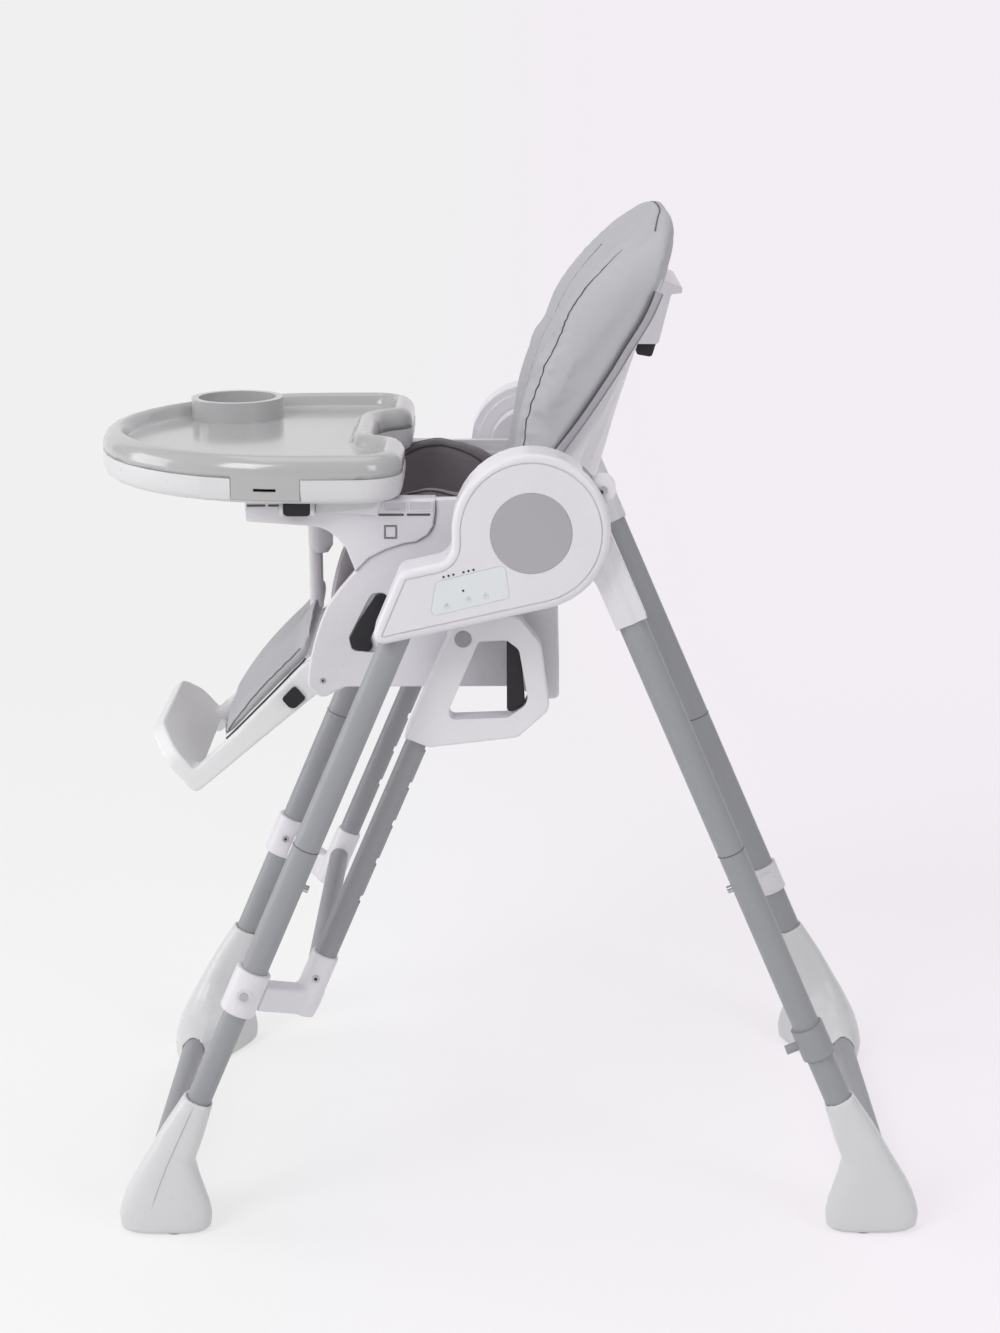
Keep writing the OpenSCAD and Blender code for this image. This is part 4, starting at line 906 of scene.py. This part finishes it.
seatCushion = {
    "front": -178, "rear": 16, "half": 146, "base": 612.2,
    "thickRear": 14, "thickFront": 36,
    # inset and share of the thickness
    "rings": [(6, 0), (1, 0.18), (0, 0.45), (2, 0.75), (7, 0.93), (16, 1), (60, 1.08)],
    "channels": (-92, -31, 31, 92),
    "wing": [
        (-8, 612.2, 7), (-7, 752, 12), (-26, 765, 22), (-47, 772, 30), (-76, 777.6, 30),
        (-102, 772, 16), (-122, 761, 20), (-148, 752, 14), (-163, 722, 0), (-172, 696, 0),
        (-180, 660, 10), (-178, 612.2, 8),
    ],
    "wingInner": 148, "wingThick": 17, "wingEdge": 4.5,
    "rim": [
        (-142, 744), (-122, 754), (-102, 764), (-92, 767), (-74, 769), (-58, 765.5), (-42, 759.5),
        (-28, 751), (-20, 742), (-16, 728), (-15, 700), (-15, 640),
    ],
    # x, z and half height and half width of the flap
    "flap": [(-30, 757, 1.5, 2), (-22, 757, 4, 5), (-12, 755, 6, 7), (0, 752, 7.5, 8), (12, 750, 8, 8),
             (22, 748, 5, 5)],
    "flapMiddle": 163,
    "stuffing": {"base": (0.005, 4.0, 0.003), "wing": (0.0045, 4.0, 0.0015), "flap": (0.003, 2.0, 0.001)},
}


def buildSeatBase(c):
    front, rear = c["front"], c["rear"]
    rings = []
    for inset, share in c["rings"]:
        ring = []
        for i in range(64):
            a = 2 * math.pi * (i + 0.5) / 64
            cx, sy = math.cos(a), math.sin(a)
            x = (front + rear) / 2 + ((rear - front) / 2 - inset) * math.copysign(abs(cx) ** 0.3, cx)
            y = (c["half"] - inset) * math.copysign(abs(sy) ** 0.3, sy)
            ahead = min(1, max(0, (rear - x) / (rear - front)))
            thick = c["thickRear"] + (c["thickFront"] - c["thickRear"]) * ahead**1.5
            ring.append(spot(x, y, c["base"] + share * thick))
        rings.append(ring)
    mesh = stuffed("seatCushion", skinOver("seatCushion", rings), *c["stuffing"]["base"])
    for y in c["channels"]:
        drawIn(mesh, laidOn([spot(x, y, 640) for x in range(-150, 0, 12)], mesh), 0.009, 0.003)
    padPiece("seatCushion", mesh, "darkHide", "seat", ["seat_pad"])


def buildWing(c, side, label):
    inner = c["wingInner"]
    form = slabMesh("wing", rounded(c["wing"]), c["wingThick"], c["wingEdge"],
                    lambda u, v, w: spot(u, side * (inner + w), v))
    mesh = stuffed("wing" + label, form, *c["stuffing"]["wing"])
    mesh.update()
    rim = curved([spot(x, side * inner, z) for x, z in c["rim"]], 3)
    drawIn(mesh, rim, 0.007, 0.0022, pucker=0.0004)
    cord("wingPiping" + label, laidOn(rim, mesh, 0.0004), 0.0011, "wingPiping", "seat")
    outer = curved([spot(x, side * (inner + c["wingThick"] - 2.5), z + 4.5) for x, z in c["rim"][:8]], 3)
    cord("wingEdge" + label, laidOn(outer, mesh, 0.0004), 0.0010, "wingPiping", "seat")
    padPiece("wing" + label, mesh, "darkHide", "seat")


def buildFlap(c, side, label):
    middle = c["flapMiddle"]
    rings = [[spot(x, side * (middle + deep * math.cos(a)), z + tall * math.sin(a)) for a in fullTurn(12)]
             for x, z, tall, deep in c["flap"]]
    bulk = stuffed("flap" + label, skinOver("flap", rings), *c["stuffing"]["flap"])
    padPiece("flap" + label, bulk, "greyHide", "seat")


buildSeatBase(seatCushion)
for side, label in sides:
    buildWing(seatCushion, side, label)
    buildFlap(seatCushion, side, label)
print("seat cushions ready")

# leg rest

legRest = {
    # its lower corner and its pin on the seat, the same pin on the leg rest itself, and its slope
    "low": (-332.98, 437.04), "pivot": (-189, 577.5), "pin": (200.7, 13.3), "slope": math.radians(40.5),
    "outer": 132, "arm": 14, "toe": 17, "corner": 24, "bandLow": 12, "bandTall": 9.5,
    "eye": 16, "cap": 5, "capThick": 6,
    "voxel": 0.0018, "rounds": 9, "flat": 0.7,
    "sides": [
        (0, 0, 6), (194.7, -2.5, 10), (200.7, 29, 6), (182, 31.8, 0), (165, 30.2, 0), (138, 27.7, 0),
        (105, 25, 0), (80, 23, 0), (60, 22.1, 0), (0, 21, 6),
    ],
    "toePlate": [
        (-132, 0, 12), (-112, 0, 8), (-100, 13, 12), (100, 13, 12), (112, 0, 8), (132, 0, 12),
        (132, 50, 26), (94, 78, 40), (-94, 78, 40), (-132, 50, 26),
    ],
    # distance up the leg rest, underside, top and half width of its cushion
    "pad": [
        (58, 23.6, 26, 100), (61, 23.4, 30, 112), (68, 23.6, 34.5, 118.5), (80, 24.4, 38.5, 122),
        (105, 26.4, 45, 124.5), (138, 29.2, 50.5, 125), (165, 31.9, 53, 125), (190, 34.9, 55, 124),
        (208, 47.3, 59.5, 122), (222, 60.3, 66, 118), (228, 66.5, 69, 110),
    ],
    "stuffing": (0.0045, 4.0, 0.0015),
    # room for the post between the child's legs, at rest and with the leg rest raised
    "postHalf": 0.0115, "postFloor": 0.0335, "postLeans": (0, math.radians(-20)),
    "seam": 3, "seamDrop": 6.5,
}


def onRest(s, y, h):
    # a place on the leg rest: s up along it, h above its underside, in millimetres
    x, z = legRest["low"]
    turned = Matrix.Rotation(-legRest["slope"], 3, "Y") @ Vector((s, y, h))
    return spot(x + turned.x, turned.y, z + turned.z)


def buildLegRestFrame(c):
    outer, inner, toe = c["outer"], c["outer"] - c["arm"], c["toe"]
    plan = rounded([
        (150, -outer, 0), (150, -inner, 0), (toe, -inner, c["corner"]), (toe, inner, c["corner"]),
        (150, inner, 0), (150, outer, 0), (0, outer, 16), (0, -outer, 16),
    ], 8)
    forms = [
        slabMesh("band", plan, c["bandTall"], 0, lambda u, v, w: Vector((u, v, c["bandLow"] + w)) / 1000),
        slabMesh("toe", rounded(c["toePlate"], 8), toe, 0, lambda u, v, w: Vector((w, u, v)) / 1000),
    ]
    for side in (-1, 1):
        for outline, start, thick in (
            (rounded(c["sides"]), inner, c["arm"]),
            (circle(*c["pin"], c["eye"], 40), inner, c["arm"]),
            (circle(*c["pin"], c["cap"], 40), outer - 1, c["capThick"]),
        ):
            forms.append(slabMesh("arm", outline, thick, 0,
                                  lambda u, v, w: Vector((u, side * (start + w), v)) / 1000))
    mesh = softened("legRestFrame", forms, c["voxel"], c["rounds"])
    for vert in mesh.vertices:
        place = vert.co * 1000
        for face in (0, toe):  # both broad faces of the toe plate are true planes
            if abs(place.x - face) < c["flat"]:
                place.x = face
        vert.co = onRest(*place)
    mesh.update()
    finishPiece("legRestFrame", mesh, "ivoryPlastic", "leg_rest",
                ["leg_rest_frame"])
    # a dark cord along each arm under the pad's edge: painted shade in the gap, and partly the pad's dark
    # underside
    for side, label in sides:
        base = [onRest(row[0], side * 120.5, row[1] - 0.6)
                for row in (tableAt(c["pad"], s) for s in range(64, 192, 4))]
        cord("legPadBase" + label, base, 0.0012, "wingPiping", "leg_rest")


def legPadRings(c):
    rings = []
    low, high = c["pad"][0][0], c["pad"][-1][0]
    for k in range(45):
        s, under, top, half = tableAt(c["pad"], low + (high - low) * k / 44)
        ring = []
        for i in range(40):
            a = 2 * math.pi * (i + 0.5) / 40
            cx, sy = math.cos(a), math.sin(a)
            y = half * math.copysign(abs(cx) ** 0.35, cx)
            edge = top - 5 * min(1, abs(y) / half) ** 2
            lift = abs(sy) ** 0.5
            share = 0.45 + 0.55 * lift if sy > 0 else 0.45 * (1 - lift)
            ring.append(onRest(s, y, under + (edge - under) * share))
        rings.append(ring)
    return rings


def pressRoomForPost(mesh, c):
    x, z = c["pivot"]
    pivot = spot(x, 0, z)
    for lean in c["postLeans"]:
        turn = Matrix.Rotation(lean, 3, "Y")
        for vert in mesh.vertices:
            place = turn.transposed() @ (vert.co - pivot)
            if abs(place.y) < c["postHalf"] and place.z > c["postFloor"]:
                place.z = c["postFloor"]
                vert.co = pivot + turn @ place
    mesh.update()


def buildLegCushion(c):
    mesh = stuffed("legCushion", skinOver("legCushion", legPadRings(c)), *c["stuffing"])
    pressRoomForPost(mesh, c)
    rows = [tableAt(c["pad"], s) for s in (66, 72, 80, 92, 105, 120, 138, 152, 165, 178, 190)]
    loop = [onRest(row[0], c["seam"] - row[3], row[2] - c["seamDrop"]) for row in reversed(rows)]
    loop += [onRest(66, y, rows[0][2]) for y in (-95, -60, -20, 20, 60, 95)]
    loop += [onRest(row[0], row[3] - c["seam"], row[2] - c["seamDrop"]) for row in rows]
    seam = laidOn(curved(loop, 3), mesh)
    drawIn(mesh, seam, 0.006, 0.0018)
    cord("legPiping", laidOn(seam, mesh, 0.0003), 0.0008, "hemThread", "leg_rest")
    padPiece("legCushion", mesh, "greyHide", "leg_rest", ["leg_rest_pad"])


buildLegRestFrame(legRest)
buildLegCushion(legRest)
print("leg rest ready")

# marks, painted shade in slots, windows, sockets and at tube joints, and small parts


def outward(y, side):
    # places plates on a face that looks away from the middle of the seat
    return lambda u, v, w: spot(u, side * (y + w), v)


def legPlace(across, y, down, part):
    # a place by a front or a rear leg: across it, sideways and down it from the axle
    lean = legTilt if part == "front" else -legTilt
    return foldAxle + Matrix.Rotation(lean, 3, "Y") @ Vector((across, y, -down)) / 1000


def screwHead(name, x, z, sizes, edge, place, body):
    # steel head with a dark disc whose colour is painted shade of its socket, each with its radius and
    # height
    for part, skin, (r, out) in zip(("Screw", "ScrewHole"), ("screwSteel", "markAndSocketShade"), sizes):
        slab(name % part, circle(x, z, r, 20), out, edge, place, skin, body)


hubMarks = {
    "face": 299.9, "lightRadius": 1.15,
    # a sloping row of lamps, one pitch apart with the middle place left out, and one by itself
    "firstLight": (-59, 712.5), "lightPitch": 5.1, "rowSlope": math.radians(13.5),
    "lightPlaces": (0, 1, 2, 4, 5, 6), "loneLight": (-39.6, 698.5),
    "icons": [(-56.1, 683), (-34.1, 689.7), (-17.4, 693.1)], "iconRadius": 2.6, "iconLine": 0.00028,
    "screw": (97.6, 793.7, 282.6, 1.9),
}


def buildHubMarks(c):
    x, z = c["firstLight"]
    stepX = c["lightPitch"] * math.cos(c["rowSlope"])
    stepZ = c["lightPitch"] * math.sin(c["rowSlope"])
    lights = [(x + stepX * i, z + stepZ * i) for i in c["lightPlaces"]]
    for i, (x, z) in enumerate(lights + [c["loneLight"]]):
        slab("panelLight%d" % (i + 1), circle(x, z, c["lightRadius"], 16), 0.5, 0.1,
             outward(c["face"], -1), "markAndSocketShade", "frame")
    y = -c["face"] - 0.3
    for i, (x, z) in enumerate(c["icons"]):
        ring = [spot(px, y, pz) for px, pz in circle(x, z, c["iconRadius"], 20)]
        cord("panelIcon%d" % (i + 1), ring, c["iconLine"], "iconPlastic", "frame", closed=True)
        bar = [spot(x, y, z + 0.4), spot(x, y, z + 3.8)]
        cord("panelIconBar%d" % (i + 1), dense(bar, 0.001), c["iconLine"], "iconPlastic", "frame")
    x, z, y, r = c["screw"]
    # a dark disc: painted shade of the screw's hole
    slab("socketScrewHole", circle(x, z, r, 16), 0.5, 0.1, outward(y, -1), "markAndSocketShade",
         nodeBody["left_rear_socket"])


buildHubMarks(hubMarks)

armrestMarks = {
    "face": 192,
    "slots": [(-263, -244, 763.2, 765.4), (-241, -226, 763.2, 765.4),
              (-128, -102, 753.1, 755.5), (-99, -75, 753.1, 755.5)],
    "windows": [(-122.5, -99, 758.5, 767.8), (-96, -72.5, 758.5, 767.8)],
    "wedge": [(-206, 770.2, 0), (-197, 764, 2), (-185, 758, 4), (-129, 753.6, 2), (-125, 768, 1.5),
              (-125, 770.2, 0)],
    "button": (-121.6, -110, 730, 742.6),
    "seam": [(-153, 695), (-138.5, 709), (-122, 717.5), (-104, 723.6), (-90, 725.7), (-78, 733),
             (-72, 742.4), (-70, 757), (-70, 769)],
}


def buildArmrestMarks(c):
    for side, label in sides:
        out = outward(c["face"], side)
        # the slots are thin dark plates on the face: painted shade in the gaps
        for i, (x0, x1, z0, z1) in enumerate(c["slots"]):
            shape = rounded([(x0, z0, 0.8), (x1, z0, 0.8), (x1, z1, 0.8), (x0, z1, 0.8)], 3)
            slab("railSlot%s%d" % (label, i + 1), shape, 0.3, 0, out, "slotShadePlastic", "seat")
        # each window is a flat plate in a darker white: painted shade of a recess
        for i, (x0, x1, z0, z1) in enumerate(c["windows"]):
            shape = rounded([(x0, z0, 2.5), (x1, z0, 2.5), (x1, z1, 2), (x0, z1, 2)], 4)
            slab("railWindow%s%d" % (label, i + 1), shape, 0.3, 0, out, "recessShadePlastic", "seat")
            frameLine = [spot(x, side * (c["face"] + 0.3), z) for x, z in shape]
            cord("railWindowRim%s%d" % (label, i + 1), frameLine, 0.0008, "whitePlastic", "seat",
                 closed=True)
        slab("railWedge" + label, rounded(c["wedge"], 4), 3.8, 1.4, out, "whitePlastic", "seat")
        x0, x1, z0, z1 = c["button"]
        shape = rounded([(x0, z0, 1.5), (x1, z0, 1.5), (x1, z1, 1.5), (x0, z1, 1.5)], 4)
        cord("armrestButtonGap" + label, [spot(x, side * (c["face"] - 0.2), z) for x, z in shape],
             0.0005, "lineShade", "seat", closed=True)
        seam = curved([spot(x, side * 189.2, z) for x, z in c["seam"]], 4)
        cord("armrestSeam" + label, seam, 0.0006, "lineShade", "seat")


buildArmrestMarks(armrestMarks)

seatInsert = {
    "outline": [(-119.6, 661, 5), (-121.5, 671.5, 5), (-132, 669.8, 6), (-151.7, 639.5, 0),
                (-160.4, 622, 8), (-157.4, 611, 6), (-131, 607.5, 6), (-139.5, 622, 8)],
    "face": 186.6, "thick": 2.6, "edge": 0.8,
}


def buildSeatInserts(c):
    for side, label in sides:
        slab("seatGrip" + label, rounded(c["outline"]), c["thick"], c["edge"], outward(c["face"], side),
             "blackPlastic", nodeBody["seat_grips"], ["seat_grips"])


buildSeatInserts(seatInsert)

reclineLever = {
    "outline": [(143.5, 921, 0), (157, 921, 0), (161, 914, 3), (156.5, 899.5, 3.5), (139.5, 902.5, 3.5)],
    "half": 75.4, "edge": 1.6,
}


def buildReclineLever(c):
    slab("reclineLever", rounded(c["outline"]), 2 * c["half"], c["edge"],
         lambda u, v, w: spot(u, w - c["half"], v), "blackPlastic", nodeBody["recline_lever"],
         ["recline_lever"])


buildReclineLever(reclineLever)

# dark rings where each upper tube meets the tube below: painted shade of the step at the joint
jointShadeLines = {
    # across the leg and down it
    "front": (-80.9, 400.5), "rear": (54.4, 394.6),
    "side": 265, "reach": 30, "line": 0.0006,
}


def buildJointShadeLines(c):
    for part in ("front", "rear"):
        across, down = c[part]
        for side, label in sides:
            node = "%s_%s_upper_tube" % (label.lower(), part)
            ring = [legPlace(across + c["reach"] * math.cos(a), side * c["side"] + c["reach"] * math.sin(a),
                             down, part) for a in fullTurn(32)]
            cord(camelName(node) + "Joint", laidOn(ring, frame["nodes"][node].data), c["line"], "tubeLine",
                 nodeBody[node], closed=True)


buildJointShadeLines(jointShadeLines)

feet = {
    "voxel": 0.002, "rounds": 6,
    # a front crease leans from its top to its low end, and below its bend it turns towards upright
    "top": (-326.2, 143), "low": 23.5, "lean": math.radians(24.3), "bend": 92, "turn": 3.85,
    # a rear crease is its mirror, beside the foot, so it is laid on the edge facing the front legs, and
    # there its first two places fall together: that leaves the cord no width, and it doesn't show
    "mirror": -56 - 26.5 / math.cos(legTilt),
    "side": 292, "steps": 20, "line": 0.0005,
}


def footCrease(c, part, side):
    x, top = c["top"]
    tall = top - c["low"]
    path = []
    for k in range(c["steps"] + 1):
        down = tall * k / c["steps"]
        past = max(0, (down - top + c["bend"]) / (c["bend"] - c["low"]))
        place = x - down * math.tan(c["lean"]) + c["turn"] * past**2
        path.append(spot(place if part == "front" else c["mirror"] - place, side * c["side"], top - down))
    return path


def buildFeet(c):
    for part in ("front", "rear"):
        for side, label in sides:
            node = "%s_%s_foot" % (label.lower(), part)
            foot = softened(camelName(node), [frame["nodes"][node].data], c["voxel"], c["rounds"])
            # the feet take the darkened white plastic: painted shade
            finishNode(node, foot, "footPlastic")
            # a darker cord along each crease: painted shade in the fold
            line = laidOn(footCrease(c, part, side), foot, 0.0001)
            cord(camelName(node) + "Crease", line, c["line"], "footLine", nodeBody[node],
                 taper=3)


buildFeet(feet)

elbow = {
    # middle of the leg and of the guide tube: across the leg frame and sideways
    "leg": (-80.9, 265), "guide": (-15.1, 213),
    "top": 518, "low": 590, "sleeve": 15,
    "armTop": 560, "thick": 21, "start": 18, "beyond": 13,
    "screwDown": 544, "screw": ((4.2, 2.9), (1.9, 3.3)), "screwSunk": 2,
    "voxel": 0.0018, "rounds": 6,
}


def buildElbow(c):
    # made square to the leg, then turned to the leg's slope
    half = c["thick"] / 2
    for side, label in sides:
        node = label.lower() + "_swing_elbow"
        leg = Vector((c["leg"][0], side * c["leg"][1], 0))
        guide = Vector((c["guide"][0], side * c["guide"][1], 0))
        along = (guide - leg).normalized()
        across = Vector((-along.y, along.x, 0))
        reach = (guide - leg).length
        sleeve = slabMesh("sleeve", circle(guide.x, guide.y, c["sleeve"], 40), c["low"] - c["top"], 0,
                          lambda u, v, w: Vector((u, v, w - c["low"])) / 1000)
        armOutline = rounded([
            (c["start"], c["low"] - 1, 0), (c["start"], c["armTop"], 0), (reach, c["armTop"], 0),
            (reach + c["beyond"], c["armTop"], 0), (reach + c["beyond"], c["low"] - 1, c["beyond"]),
        ])
        arm = slabMesh("arm", armOutline, c["thick"], 0, lambda u, v, w: (
            leg + along * u + across * (w - half) + Vector((0, 0, -v))) / 1000)
        mesh = softened(camelName(node), [sleeve, arm], c["voxel"], c["rounds"])
        for vert in mesh.vertices:
            x, y, z = vert.co * 1000
            vert.co = legPlace(x, y, -z, "front")
        mesh.update()
        finishNode(node, mesh, "whitePlastic")
        face = guide.y - c["sleeve"] + c["screwSunk"]
        screwHead(label.lower() + "Elbow%s", guide.x, -c["screwDown"], c["screw"], 0.3,
                  lambda u, v, w: legPlace(u, face - w, -v, "front"), nodeBody[node])


buildElbow(elbow)

trayHooks = {
    # side, paint and a node that goes with it: the near hook is painted like its leg
    "Left": (-1, "tubePaint", "left_rear_upper_tube"),
    "Right": (1, "whitePlastic", "tray_hooks"),
}


def buildTrayHooks(c):
    for label, (side, skin, slotNode) in c.items():
        bm = bmesh.new()
        bm.from_mesh(frame["nodes"]["tray_hooks"].data)
        bmesh.ops.delete(bm, geom=[v for v in bm.verts if v.co.y * side < 0], context="VERTS")
        hook = meshFrom(bm, "trayHook" + label)
        shadeSmooth(hook, 32)
        finishPiece("trayHook" + label, hook, skin, nodeBody["tray_hooks"],
                    ["tray_hooks"])


buildTrayHooks(trayHooks)

looseScrews = {
    "restFace": 188, "rest": ((3.2, 0.8), (1.4, 1.0)),
    "collarPlace": (-80.9, 245.4, 570), "collar": ((4.2, 1.2), (1.8, 1.6)),
}


def buildLooseScrews(c):
    # at the leg rest's pivot and on the far collar
    for side, label in sides:
        screwHead("restPivot%s" + label, *legRest["pivot"], c["rest"], 0.2,
                  outward(c["restFace"], side), "seat")
    across, y, down = c["collarPlace"]
    screwHead("farCollar%s", 0, 0, c["collar"], 0.3,
              lambda u, v, w: legPlace(across + u, y - w, down - v, "front"), nodeBody["right_leg_collar"])


buildLooseScrews(looseScrews)
print("marks and small parts ready")
